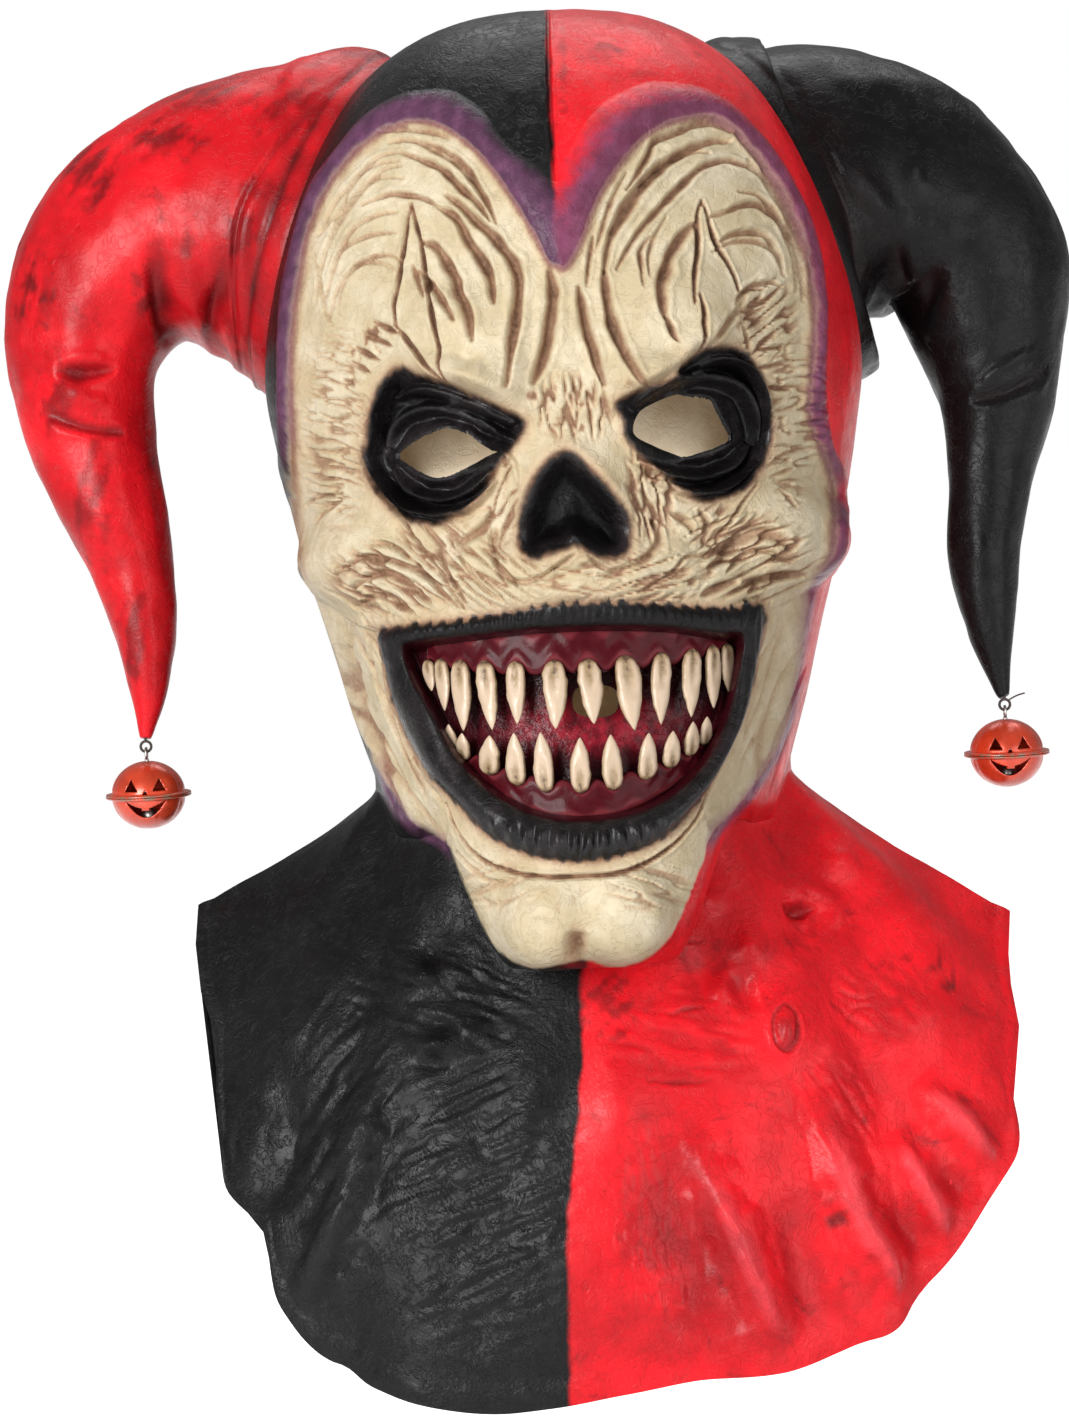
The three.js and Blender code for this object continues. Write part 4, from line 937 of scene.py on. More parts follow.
def lip_relief(view, sizes):
    """Rise of the rolled lips in mm, puckered above and ribbed below."""
    share = band_share(view.lip, view.grin)
    over = 1 - smoothstep(640, 720, view.py)
    roll = sizes.lip_rise / MM * np.sin(np.pi * share) ** 0.8 * (1 - 0.5 * over)
    puckers = 1.5 * lattice_noise(view.points, 6, 9)
    ribs = 0.9 * np.sin(view.px * 2 * np.pi / 15 + puckers) * smoothstep(815, 835, view.py)
    ribs += 0.35 * np.sin(view.px * 2 * np.pi / 9 + 2.4 * puckers) * over
    return (roll + ribs * np.sin(np.pi * share)) * (view.lip > 0)


def face_carving(view, sizes):
    """How the sockets, nose and grin sink along the line of sight in mm, with a lid round each eye."""
    carved = -sizes.socket_depth / MM * smoothstep(-1.5, 9, view.socket)
    carved += 3.2 * hump(np.minimum(view.hole, 0), 0, 3.2) * smoothstep(-15, -8, view.hole)
    carved -= sizes.mouth_depth / MM * smoothstep(-0.5, 4.5, view.grin)
    carved -= sizes.nose_depth / MM * smoothstep(-0.8, 10, view.nose)
    nose_wall = hump(view.px, 574, 7) * smoothstep(485, 540, view.py)
    return carved + 4.5 * nose_wall * smoothstep(0, 3, view.nose)


def face_relief(view, sizes):
    """Rise of the face's skin in mm, and the wash that lies in its wrinkles and pits."""
    px, py, face, lip = view.px, view.py, view.face, view.lip
    drawn, wash = draw_lines(HEAD_LINES, px, py, view.wobble)
    fine, fine_wash = flow_wrinkles(FACE_FIELDS, px, py, 0.3)
    pits, pit_wash = pitted(view.points, px, py)
    bare = 1 - smoothstep(-1.5, 0.5, np.maximum.reduce([view.socket, view.nose, lip]))
    rolled = np.sin(np.pi * band_share(view.cap, face)) ** 0.7 * (face < 0) * (view.cap > 0)
    relief = sizes.cap_edge_rise / MM * rolled * view.upper
    relief -= 1.6 * smoothstep(-0.6, 4, face) * view.upper * (1 - smoothstep(-2, 6, lip))
    relief += FACE_LINE_DEPTH * (drawn + fine * bare) * sizes.wrinkle_depth
    relief += lip_relief(view, sizes) + pits + lump_rise(FACE_LUMPS, px, py) * bare
    relief += 1.2 * hump(view.nose, -2.5, 2.2)
    relief -= 4.5 * smoothstep(0, 4, view.inside(*CHEEK_HOLLOWS)) * (1 - smoothstep(-3, 0, lip))
    relief += 0.3 * lattice_noise(view.points, 11, 3) + 0.06 * view.wobble
    return relief, np.maximum.reduce([wash, fine_wash, pit_wash])


def face_paint(view, wash, show, chin_fade, aside):
    """How much of each paint lies on the face."""
    px, py, socket, nose, lip, grin = view.px, view.py, view.socket, view.nose, view.lip, view.grin
    cream, sprayed = view.edge_paint()
    cream = cream * chin_fade
    sprayed = sprayed * chin_fade * (1 - smoothstep(1.12, 1.3, aside))
    edge_spray = np.exp(-np.maximum(view.face, 0) / 2.2) * cream
    ink = smoothstep(-1.5, 1.0, np.maximum(socket, nose) + 1.1 * view.feather)
    strokes = np.stack([px / 3.5, py / 20, np.full(px.shape, 3.5)], axis=-1)
    fray = (0.9 + 1.1 * (1 - smoothstep(610, 680, py))) * lattice_noise(strokes, 1, 14)
    # Painted shade: the ink is made blacker deep in the sockets, down the nose hole, and over the upper lip
    # and the mouth's corners.
    socket_shade = 0.6 * smoothstep(1.0, 5, socket) * smoothstep(3, 6, -view.hole)
    lip_shade = 0.8 * smoothstep(0, 2, lip) * (1 - smoothstep(640, 760, py))
    halo = 0.8 * np.exp(-np.maximum(-np.maximum.reduce([socket, nose, lip]), 0) / 3.0)
    border = 0.9 * hump(np.maximum(view.face, 0), 0, 2.4 + 0.8 * view.wobble) * view.upper * cream
    spots = dirty(FACE_DIRT, view.points, px, py) * show
    return {
        "cream": cream,
        "purple": sprayed * (1 - 0.55 * cream * (1 - edge_spray)),
        "ink": np.maximum(ink, smoothstep(-0.7, 0.5, lip + 0.5 * view.feather + fray)),
        "deep": np.maximum.reduce([smoothstep(1.5, 6, nose), socket_shade, lip_shade]),
        # The middle of the grin is painted lighter, as painted light with painted glinting spots.
        "wet": hump(px, 592, 100) * hump(py, 725, 34) * smoothstep(0, 3, grin),
        "mouth": smoothstep(-0.4, 1.0, grin + 0.3 * view.feather),
        "wash": np.clip(np.maximum.reduce([wash, halo, border, spots]), 0, 1.2),
    }


def skin_paint(shape):
    """Empty amounts of every paint of the skin."""
    names = ("cream", "purple", "ink", "deep", "mouth", "wet", "wash", "rub")
    return {name: np.zeros(shape) for name in names}


def head_skin(row, angle, sizes):
    """Points of the head's outer skin, with its painted areas and how far they lie inside the openings."""
    points = plain_head(row, angle)
    paint = skin_paint(row.shape)
    opening = np.full(row.shape, FAR_OUTSIDE)
    near = np.cos(angle) > 0.05
    out = normals_of(plain_head, row, angle)[near]
    base, near_row, aside = points[near], row[near], np.abs(angle[near])
    jaw_fade = 12.2 - 1.9 * smoothstep(0.5, 0.8, aside)
    show = smoothstep(0.05, 0.3, np.cos(angle[near])) * (1 - smoothstep(jaw_fade, 13.2, near_row))
    keep_lips = 1 - smoothstep(-2, 8, near_outline(LIP_OUTLINE, *seen_at(base)))
    base = base + out * (form_rise(FACE_FORMS, base[:, 0], base[:, 2]) * show * keep_lips)[:, None]
    view = FrontView(base)
    relief, wash = face_relief(view, sizes)
    carved = face_carving(view, sizes)
    sight = unit(VIEW_PLACE - base)
    points[near] = base + out * (relief * show)[:, None] + sight * (carved * show)[:, None]
    chin_fade = 1 - smoothstep(12.5, 12.9, near_row) * (1 - smoothstep(0.5, 0.65, aside))
    for area, amount in face_paint(view, wash, show, chin_fade, aside).items():
        paint[area][near] = amount
    holes = np.maximum(view.hole, view.inside(BREATH_SLOT))
    opening[near] = np.where(near_row < 12, holes, FAR_OUTSIDE)
    return points, paint, opening


def bib_skin(share, angle, sizes):
    """Points and painted areas of the bib."""
    points = plain_bib(share, angle)
    normal = normals_of(plain_bib, np.clip(share, 0.02, 0.98), angle)
    below_neck = smoothstep(0, 0.15, share)
    facing = smoothstep(0, 0.2, np.cos(angle)) * below_neck * (1 - smoothstep(0.93, 1, share))
    base = points + normal * (form_rise(BIB_FORMS, points[..., 0], points[..., 2]) * facing)[..., None]
    view = FrontView(base, wobble_cell=5)
    px, py = view.px, view.py
    drawn, wash = draw_lines(BIB_LINES, px, py, view.wobble)
    fine, fine_wash = flow_wrinkles(BIB_FIELDS, px, py, 0.6)
    relief = ((drawn + fine) * sizes.wrinkle_depth + lump_rise(BIB_LUMPS, px, py)) * facing
    relief += (0.5 * lattice_noise(base, 16, 3) + 0.12 * view.wobble) * below_neck
    relief += 0.8 * smoothstep(0.95, 0.985, share)
    beside_chin = smoothstep(0.5, 0.65, np.abs(angle)) * (np.cos(angle) > 0)
    under_jaw = beside_chin * (1 - smoothstep(0.3, 0.45, share))
    cream, sprayed = view.edge_paint()
    cream = cream * under_jaw
    edge_spray = np.exp(-np.maximum(view.face, 0) / 2.2)
    paint = skin_paint(share.shape)
    paint["cream"] = cream
    paint["purple"] = sprayed * under_jaw * (1 - 0.55 * cream * (1 - edge_spray))
    # Painted highlight: the bib's raised folds are painted lighter.
    paint["rub"] = smoothstep(2.4, 5.0, drawn * sizes.wrinkle_depth) * facing
    # The wash holds painted shade in the bib's valleys and dents, dark marks of its cracks, and rubbed dirt.
    paint["wash"] = np.maximum.reduce([wash, fine_wash, dirty(BIB_DIRT, base, px, py)]) * facing
    return base + normal * relief[..., None], paint


def column_angles():
    """Columns of the skin grid: even steps across the face, then coarser ones round the back."""
    side = math.radians(FACE_SIDE_DEG)
    face = np.arcsin(np.linspace(-math.sin(side), math.sin(side), FRONT_COLUMNS + 1))
    share = np.linspace(0, 1, BACK_COLUMNS + 1)[1:]
    back = side + (2 * math.pi - 2 * side) * (share + 0.08 * np.sin(2 * math.pi * share))
    angles = np.concatenate([face, back])
    return np.where(angles > math.pi + 1e-9, angles - 2 * math.pi, angles)


def row_places():
    """Section rows of the skin grid's lines: even steps down the front of the face."""
    fine = np.linspace(FACE_ROWS[0], FACE_ROWS[-1], 800)
    front = plain_head(fine, np.zeros(fine.shape))
    run = np.concatenate([[0], np.cumsum(np.linalg.norm(np.diff(front, axis=0), axis=1))])
    marks = np.interp(FACE_ROWS, fine, run)
    counts = np.round(np.diff(marks) / marks[-1] * FACE_LINES).astype(int)
    stretches = [np.linspace(a, b, n + 1)[1:] for a, b, n in zip(marks, marks[1:], counts)]
    face = np.interp(np.concatenate([[0], *stretches]), run, fine)
    crown = FACE_ROWS[0] * np.linspace(0.03, 1, CROWN_LINES + 1)[:-1]
    throat = np.linspace(FACE_ROWS[-1], NECK_ROW, THROAT_LINES + 1)[1:]
    breaks = CROWN_LINES + np.concatenate([[0], np.cumsum(counts)])
    return np.concatenate([crown, face, throat]), breaks


# Meshes


def quads(lines, columns, closed=False):
    """Corner numbers of a grid's faces."""
    across = columns if closed else columns - 1
    r, c = np.meshgrid(np.arange(lines - 1), np.arange(across), indexing="ij")
    right = (c + 1) % columns
    corners = (r * columns + c, (r + 1) * columns + c, (r + 1) * columns + right, r * columns + right)
    return np.stack(corners, axis=-1).reshape(-1, 4)


def crown_lid(grid):
    """Faces that close the ring at the top of the crown, as strips across it."""
    count = grid.shape[1] - 1
    left = np.arange(count // 2 - 1)
    right = count - 1 - left
    return np.stack([left, left + 1, right - 1, right], axis=1)


def make_piece(name, points, faces, finish, paint=None, normals=None):
    """A smooth-shaded mesh object from points in mm, with its painted areas as point attributes."""
    mesh = bpy.data.meshes.new(name)
    mesh.from_pydata((points * MM).tolist(), [], [list(face) for face in faces])
    mesh.shade_smooth()
    for area, amount in (paint or {}).items():
        mesh.attributes.new(area, "FLOAT", "POINT").data.foreach_set("value", amount.astype(np.float32))
    if normals is not None:
        mesh.normals_split_custom_set_from_vertices(normals.tolist())
    mesh.materials.append(finish)
    piece = bpy.data.objects.new(name, mesh)
    bpy.context.scene.collection.objects.link(piece)
    return piece


def settle(piece, body, slot, *nodes):
    """Says which body carries a piece and hides the solids it stands for; the finish slot is not used."""
    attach(piece, body)
    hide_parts(*nodes)
    return piece


def deepest(depth, reach):
    """The deepest value within reach lines and columns of each grid point."""
    window = (2 * reach + 1, 2 * reach + 1)
    return np.lib.stride_tricks.sliding_window_view(np.pad(depth, reach, "edge"), window).max(axis=(2, 3))


def end_caps(count, sides):
    """The two faces that close a tube of so many points."""
    return [list(range(sides)), list(range(count - 1, count - sides - 1, -1))]


def cut_openings(points, faces, opening):
    """Leaves out the faces inside the openings and pulls the edge onto the outlines."""
    kept = faces[opening[faces].mean(axis=1) < 0]
    edge = np.zeros(len(points), bool)
    edge[kept] = True
    gone = np.zeros(len(points), bool)
    gone[faces[opening[faces].mean(axis=1) >= 0]] = True
    snap = edge & gone
    points = points.copy()
    px, py = seen_at(points[snap])
    lines = [rounded(outline, True, 12) for outline in (*EYE_HOLES, BREATH_SLOT)]
    corners = np.vstack(lines)
    nearest = np.argmin(np.hypot(px[:, None] - corners[:, 0], py[:, None] - corners[:, 1]), axis=1)
    points[snap, 0] += (corners[nearest, 0] - px) * SKETCH_MM
    points[snap, 2] -= (corners[nearest, 1] - py) * SKETCH_MM
    return points, kept


def turn_in(points, kept, opening, normals):
    """Turns the skin inwards round its openings."""
    edges = np.concatenate([kept[:, [k, (k + 1) % 4]] for k in range(4)])
    keys = np.sort(edges, axis=1)
    _, index, count = np.unique(keys, axis=0, return_index=True, return_counts=True)
    rim = edges[index[count == 1]]
    rim = rim[(opening[rim] > -1.5).all(axis=1)]
    ends, place = np.unique(rim, return_inverse=True)
    turned = points[ends] - normals[ends] * 2.2
    place = place.reshape(rim.shape) + len(points)
    strip = np.stack([rim[:, 1], rim[:, 0], place[:, 0], place[:, 1]], axis=1)
    return np.vstack([points, turned]), np.vstack([kept, strip]), ends


# Shader nodes


class Value:
    """A shader value; arithmetic on it adds Math nodes."""

    def __init__(self, finish, socket):
        self.finish = finish
        self.socket = socket

    def join(self, operation, first, second):
        return self.finish.node("ShaderNodeMath", {"operation": operation}, {0: first, 1: second})

    def __add__(self, other):
        return self.join("ADD", self, other)

    __radd__ = __add__

    def __sub__(self, other):
        return self.join("SUBTRACT", self, other)

    def __rsub__(self, other):
        return self.join("SUBTRACT", other, self)

    def __mul__(self, other):
        return self.join("MULTIPLY", self, other)

    __rmul__ = __mul__


class Nodes:
    """A node tree and the one way to add nodes to it."""

    def __init__(self, tree):
        self.tree = tree

    def node(self, kind, settings=None, sockets=None, output=0):
        """Adds a node: its settings first, then the values or links of its sockets."""
        made = self.tree.nodes.new(kind)
        for name, value in (settings or {}).items():
            setattr(made, name, value)
        for key, value in (sockets or {}).items():
            if isinstance(value, Value):
                self.tree.links.new(value.socket, made.inputs[key])
            elif hasattr(value, "__len__") and len(value) == 3 and made.inputs[key].type == "RGBA":
                made.inputs[key].default_value = (*value, 1)
            else:
                made.inputs[key].default_value = value
        return Value(self, made.outputs[output])


class Finish(Nodes):
    """One material and the nodes that paint it."""

    def __init__(self, name, **constants):
        self.material = bpy.data.materials.new(name)
        self.material.use_nodes = True
        super().__init__(self.material.node_tree)
        self.shader = self.tree.nodes["Principled BSDF"]
        for socket, value in constants.items():
            self.shader.inputs[socket.replace("_", " ").title().replace("Ior", "IOR")].default_value = value
        self.place = self.node("ShaderNodeTexCoord", output="Object")

    def painted(self, area):
        return self.node("ShaderNodeAttribute", {"attribute_name": area}, output="Fac")

    def noise(self, cell_mm, detail=3, roughness=0.55, distortion=0):
        sockets_of = {
            "Vector": self.place, "Scale": 1 / (cell_mm * MM), "Detail": detail,
            "Roughness": roughness, "Distortion": distortion,
        }
        return self.node("ShaderNodeTexNoise", None, sockets_of, "Fac")

    def between(self, value, low, high, start=0, end=1):
        """Eases from start to end as a value goes from low to high."""
        sockets_of = {"Value": value, "From Min": low, "From Max": high, "To Min": start, "To Max": end}
        return self.node("ShaderNodeMapRange", {"interpolation_type": "SMOOTHSTEP"}, sockets_of)

    def mix(self, amount, first, second):
        sockets_of = {"Factor": amount, 6: first, 7: second}
        return self.node("ShaderNodeMix", {"data_type": "RGBA"}, sockets_of, 2)

    def blend(self, amount, first, second):
        sockets_of = {"Factor": amount, 2: first, 3: second}
        return self.node("ShaderNodeMix", {"data_type": "FLOAT"}, sockets_of, 0)

    def feed(self, socket, value):
        self.tree.links.new(value.socket, self.shader.inputs[socket])

    def bump(self, height, depth_mm, strength=1.0):
        sockets_of = {"Height": height, "Distance": depth_mm * MM, "Strength": strength}
        self.feed("Normal", self.node("ShaderNodeBump", None, sockets_of))


def tint(colour, factor):
    """A colour scaled by one factor, or by one for each channel."""
    factors = factor if hasattr(factor, "__len__") else (factor,) * 3
    return tuple(min(1.0, channel * share) for channel, share in zip(colour, factors))


def red_side(finish):
    """Which side of the black and red seam a place lies on; the seam wanders a little."""
    split = {0: finish.place}
    across, behind, height = (finish.node("ShaderNodeSeparateXYZ", None, split, axis) for axis in "XYZ")
    lean = finish.between(height, -0.28, -0.47, 0, SEAM_LEAN) * finish.between(behind, 0.02, -0.04)
    wander = (finish.noise(22, 3) - 0.5) * 7 * MM
    return finish.between(across + lean + wander, -1.3 * MM, 1.3 * MM)


def latex_red(finish, colours):
    """Red latex: mottled, with dark rubbed dirt and a fine dark grain."""
    patches = finish.noise(26, 4, 0.6)
    red = finish.mix(finish.between(patches, 0.38, 0.66), tint(colours.red, 0.72), colours.red)
    dirt = finish.between(finish.noise(17, 6, 0.68, 0.6), 0.55, 0.74, 0, 0.6)
    red = finish.mix(dirt, red, (0.09, 0.006, 0.008))
    grain = finish.between(finish.noise(1.5, 5, 0.75, 0.5), 0.56, 0.72, 0, 0.5)
    grain = grain * finish.between(finish.noise(26, 4), 0.35, 0.6, 0.35, 1)
    return finish.mix(grain, red, (0.16, 0.006, 0.008))


def latex_black(finish, colours):
    """Black latex: leathery, scuffed to grey along its fine grain."""
    scuffs = finish.between(finish.noise(9, 6, 0.7, 0.4), 0.5, 0.78, 0, 0.5)
    black = finish.mix(scuffs, colours.black, tint(colours.black, 3.2))
    dust = finish.between(finish.noise(45, 3), 0.45, 0.7, 0, 0.35)
    return finish.mix(dust, black, tint(colours.black, 2.6))


def latex_grain(finish):
    """Fine leathery grain and creases of cast latex."""
    folds = finish.noise(8, 5, 0.62, 0.9) - 0.5
    crease = finish.between(folds * folds, 0, 0.002)
    return finish.noise(3.2, 4, 0.6, 0.3) * 0.6 + finish.noise(1.1, 3) * 0.35 + crease * 0.45


def cream_paint(finish, colours, wash):
    """Cream face with blotches, flecks and brown wash in its wrinkles."""
    blotches = finish.between(finish.noise(14, 4, 0.6), 0.35, 0.7)
    dull, fresh = tint(colours.cream, (0.86, 0.82, 0.74)), tint(colours.cream, (1.05, 1.06, 1.1))
    cream = finish.mix(blotches, dull, fresh)
    flecks = finish.between(finish.noise(2.2, 3, 0.7), 0.6, 0.75, 0, 0.35)
    cream = finish.mix(flecks, cream, tint(colours.cream, (0.62, 0.5, 0.4)))
    grainy = wash * finish.between(finish.noise(1.8, 4, 0.7), 0.3, 0.62, 0.82, 1.06)
    soft = finish.between(grainy, 0.02, 0.45, 0, 0.6)
    cream = finish.mix(soft, cream, (0.50, 0.35, 0.21))
    brown = finish.mix(finish.between(grainy, 0.3, 0.8, 0, 0.9), cream, colours.wash)
    return finish.mix(finish.between(grainy, 0.72, 1.1, 0, 0.75), brown, tint(colours.wash, 0.35))


def cap_paint(finish, colours, red, wash):
    """Black and red latex of the cap and bib, with painted highlights along the bib's ridges, and darkened by
    the wash: dirt, and painted shade in the bib's valleys.
    """
    latex = finish.mix(red, latex_black(finish, colours), latex_red(finish, colours))
    # Painted highlight on the ridges: pink on the red, grey on the black.
    rubbed = finish.mix(red, tint(colours.black, 3.4), tint(colours.red, (1.1, 9, 6)))
    latex = finish.mix(finish.painted("rub") * 0.4, latex, rubbed)
    # The wash darkens the latex: dirt, and painted shade in the bib's valleys.
    return finish.mix(wash * 0.8, latex, (0.012, 0.008, 0.008))


def ink_paint(finish, colours, deep):
    """Black paint of the sockets, nose and lips, with a painted sheen in patches, and painted shade that
    makes it blackest in the hollows.
    """
    # A painted sheen: the ink is lighter in patches.
    painted_sheen = finish.between(finish.noise(7, 4), 0.4, 0.7)
    ink = finish.mix(painted_sheen, colours.ink, tint(colours.ink, (2.6, 2.2, 2.4)))
    return finish.mix(deep, ink, (0.0015, 0.001, 0.001))


def mouth_paint(finish, colours):
    """Dark flesh behind the fangs, its middle painted lighter with painted light and small painted
    highlights.
    """
    flesh = finish.mix(finish.noise(5, 4), tint(colours.maroon, 0.2), tint(colours.maroon, (0.55, 0.8, 0.8)))
    painted_glints = finish.between(finish.noise(3.2, 3), 0.35, 0.65, 0.35, 1)
    wet = finish.between(finish.painted("wet"), 0.1, 0.9) * painted_glints
    return finish.mix(wet, flesh, tint(colours.maroon, (3.2, 2.0, 2.2)))


def skin_finish(colours):
    """Painted latex of the head and bib."""
    finish = Finish("latex_skin", specular_ior_level=0.14, coat_roughness=0.3)
    wash, ink, deep, grin = (finish.painted(area) for area in ("wash", "ink", "deep", "mouth"))
    cream, purple, red = finish.painted("cream"), finish.painted("purple"), red_side(finish)
    patches = finish.between(finish.noise(6, 4), 0.35, 0.7)
    violet = finish.mix(patches, tint(colours.purple, 0.6), colours.purple)
    sprayed = finish.mix(purple * 0.92, cap_paint(finish, colours, red, wash), violet)
    face = cream_paint(finish, colours, wash)
    spray = finish.between(purple, 0.62, 1.0, 0, 0.55)
    face = finish.mix(spray, face, tint(colours.purple, (1.5, 1.3, 1.2)))
    colour = finish.mix(cream, sprayed, face)
    colour = finish.mix(ink, colour, ink_paint(finish, colours, deep))
    finish.feed("Base Color", finish.mix(grin, colour, mouth_paint(finish, colours)))
    rough = finish.blend(cream, finish.between(finish.noise(8, 4), 0.3, 0.7, 0.27, 0.42), 0.5)
    rough = finish.blend(ink, rough, finish.between(finish.noise(4, 3), 0.3, 0.7, 0.18, 0.3) + deep * 0.3)
    finish.feed("Roughness", finish.blend(grin, rough, 0.2))
    finish.feed("Coat Weight", red * 0.12 * (1 - cream) * (1 - grin) + ink * (1 - deep) * (1 - grin) * 0.15)
    finish.bump(latex_grain(finish), 0.7, 0.6)
    return finish.material


def lining_finish(colours):
    """Bare latex inside the mask, blotched and dull."""
    finish = Finish("latex_lining")
    blotches = finish.between(finish.noise(22, 4), 0.35, 0.68)
    bare = finish.mix(blotches, tint(colours.lining, (0.8, 0.74, 0.66)), colours.lining)
    wrapped = finish.mix(red_side(finish), colours.black, colours.red)
    finish.feed("Base Color", finish.mix(finish.painted("rim"), bare, wrapped))
    finish.feed("Roughness", finish.between(finish.noise(6), 0.3, 0.7, 0.6, 0.8))
    finish.bump(latex_grain(finish), 0.5, 0.4)
    return finish.material


def horn_finish(colours, side):
    """Latex of a cap horn, with painted shade in its folds and rubbed dirt."""
    shine = 0.09 if side == "red" else 0.02
    finish = Finish("latex_horn_" + side, specular_ior_level=0.11, coat_weight=shine, coat_roughness=0.25)
    latex = latex_red(finish, colours) if side == "red" else latex_black(finish, colours)
    grime = finish.between(finish.noise(34, 5, 0.6), 0.36, 0.66, 0.12, 0.55)
    latex = finish.mix(grime, latex, tint(colours.red, 0.3) if side == "red" else colours.black)
    # The wash holds painted shade along the folds and creases, and rubbed dirt.
    folds = finish.painted("wash")
    finish.feed("Base Color", finish.mix(folds * 0.92, latex, (0.014, 0.004, 0.004)))
    finish.feed("Roughness", finish.between(finish.noise(9, 4), 0.3, 0.7, 0.25, 0.38))
    finish.bump(latex_grain(finish), 0.5, 0.5)
    return finish.material


def gum_finish(colours):
    """Wet maroon gum with painted highlights along its ridges."""
    finish = Finish("wet_gum", specular_ior_level=0.06, coat_weight=0.06, coat_roughness=0.08)
    gum_highlight = finish.painted("gum_highlight")
    flesh = finish.mix(finish.noise(4, 4), tint(colours.maroon, 0.45), colours.maroon)
    finish.feed("Base Color", finish.mix(gum_highlight * 0.8, flesh, tint(colours.maroon, (2.6, 6.0, 4.0))))
    finish.feed("Roughness", finish.between(finish.noise(3), 0.3, 0.7, 0.22, 0.36))
    finish.bump(finish.noise(1.6, 3), 0.3, 0.4)
    return finish.material


def fang_finish(colours):
    """Ivory fangs, stained brown at the root and along the edges."""
    finish = Finish("fang_ivory")
    stain = finish.painted("stain")
    streaks = finish.between(finish.noise(1.6, 4, 0.6), 0.3, 0.7, 0.65, 1.15)
    ivory = finish.mix(finish.noise(5, 3), tint(colours.ivory, (0.85, 0.8, 0.7)), colours.ivory)
    stained = finish.mix(finish.between(stain * streaks, 0.05, 0.55, 0, 0.85), ivory, (0.30, 0.20, 0.10))
    stained = finish.mix(finish.between(stain * streaks, 0.5, 0.95, 0, 0.9), stained, (0.07, 0.035, 0.025))
    finish.feed("Base Color", stained)
    finish.feed("Roughness", finish.between(finish.noise(2), 0.3, 0.7, 0.28, 0.42))
    finish.bump(finish.noise(1.2, 3), 0.2, 0.4)
    return finish.material


def bell_finish(colours):
    """Orange lacquer on pressed tin, worn on the flange."""
    finish = Finish("bell_lacquer", metallic=0.25, coat_weight=0.35, coat_roughness=0.2)
    blush = finish.between(finish.noise(7, 3), 0.35, 0.7)
    lacquer = finish.mix(blush, tint(colours.pumpkin, 0.75), colours.pumpkin)
    worn = finish.painted("worn") * finish.between(finish.noise(2.5, 4), 0.4, 0.6)
    finish.feed("Base Color", finish.mix(worn, lacquer, (0.25, 0.14, 0.09)))
    finish.feed("Roughness", finish.between(finish.noise(3), 0.3, 0.7, 0.24, 0.4))
    finish.bump(finish.noise(2, 3), 0.15, 0.3)
    return finish.material


def wire_finish():
    """Dull bright wire and pellet."""
    finish = Finish("bell_wire", metallic=1.0)
    finish.feed("Base Color", finish.mix(finish.noise(1.5, 3), (0.3, 0.29, 0.28), (0.55, 0.54, 0.52)))
    finish.feed("Roughness", finish.between(finish.noise(1.0), 0.3, 0.7, 0.3, 0.5))
    return finish.material


def thread_finish(colours):
    """Twisted dark thread."""
    finish = Finish("tie_thread")
    sockets_of = {"Vector": finish.place, "Scale": 900, "Distortion": 1.5}
    twist = finish.node("ShaderNodeTexWave", {"bands_direction": "DIAGONAL"}, sockets_of, "Fac")
    finish.feed("Base Color", finish.mix(twist, tint(colours.thread, 0.6), tint(colours.thread, 1.6)))
    finish.feed("Roughness", finish.between(finish.noise(0.6), 0.3, 0.7, 0.75, 0.95))
    finish.bump(twist, 0.2, 0.6)
    return finish.material


# Operators


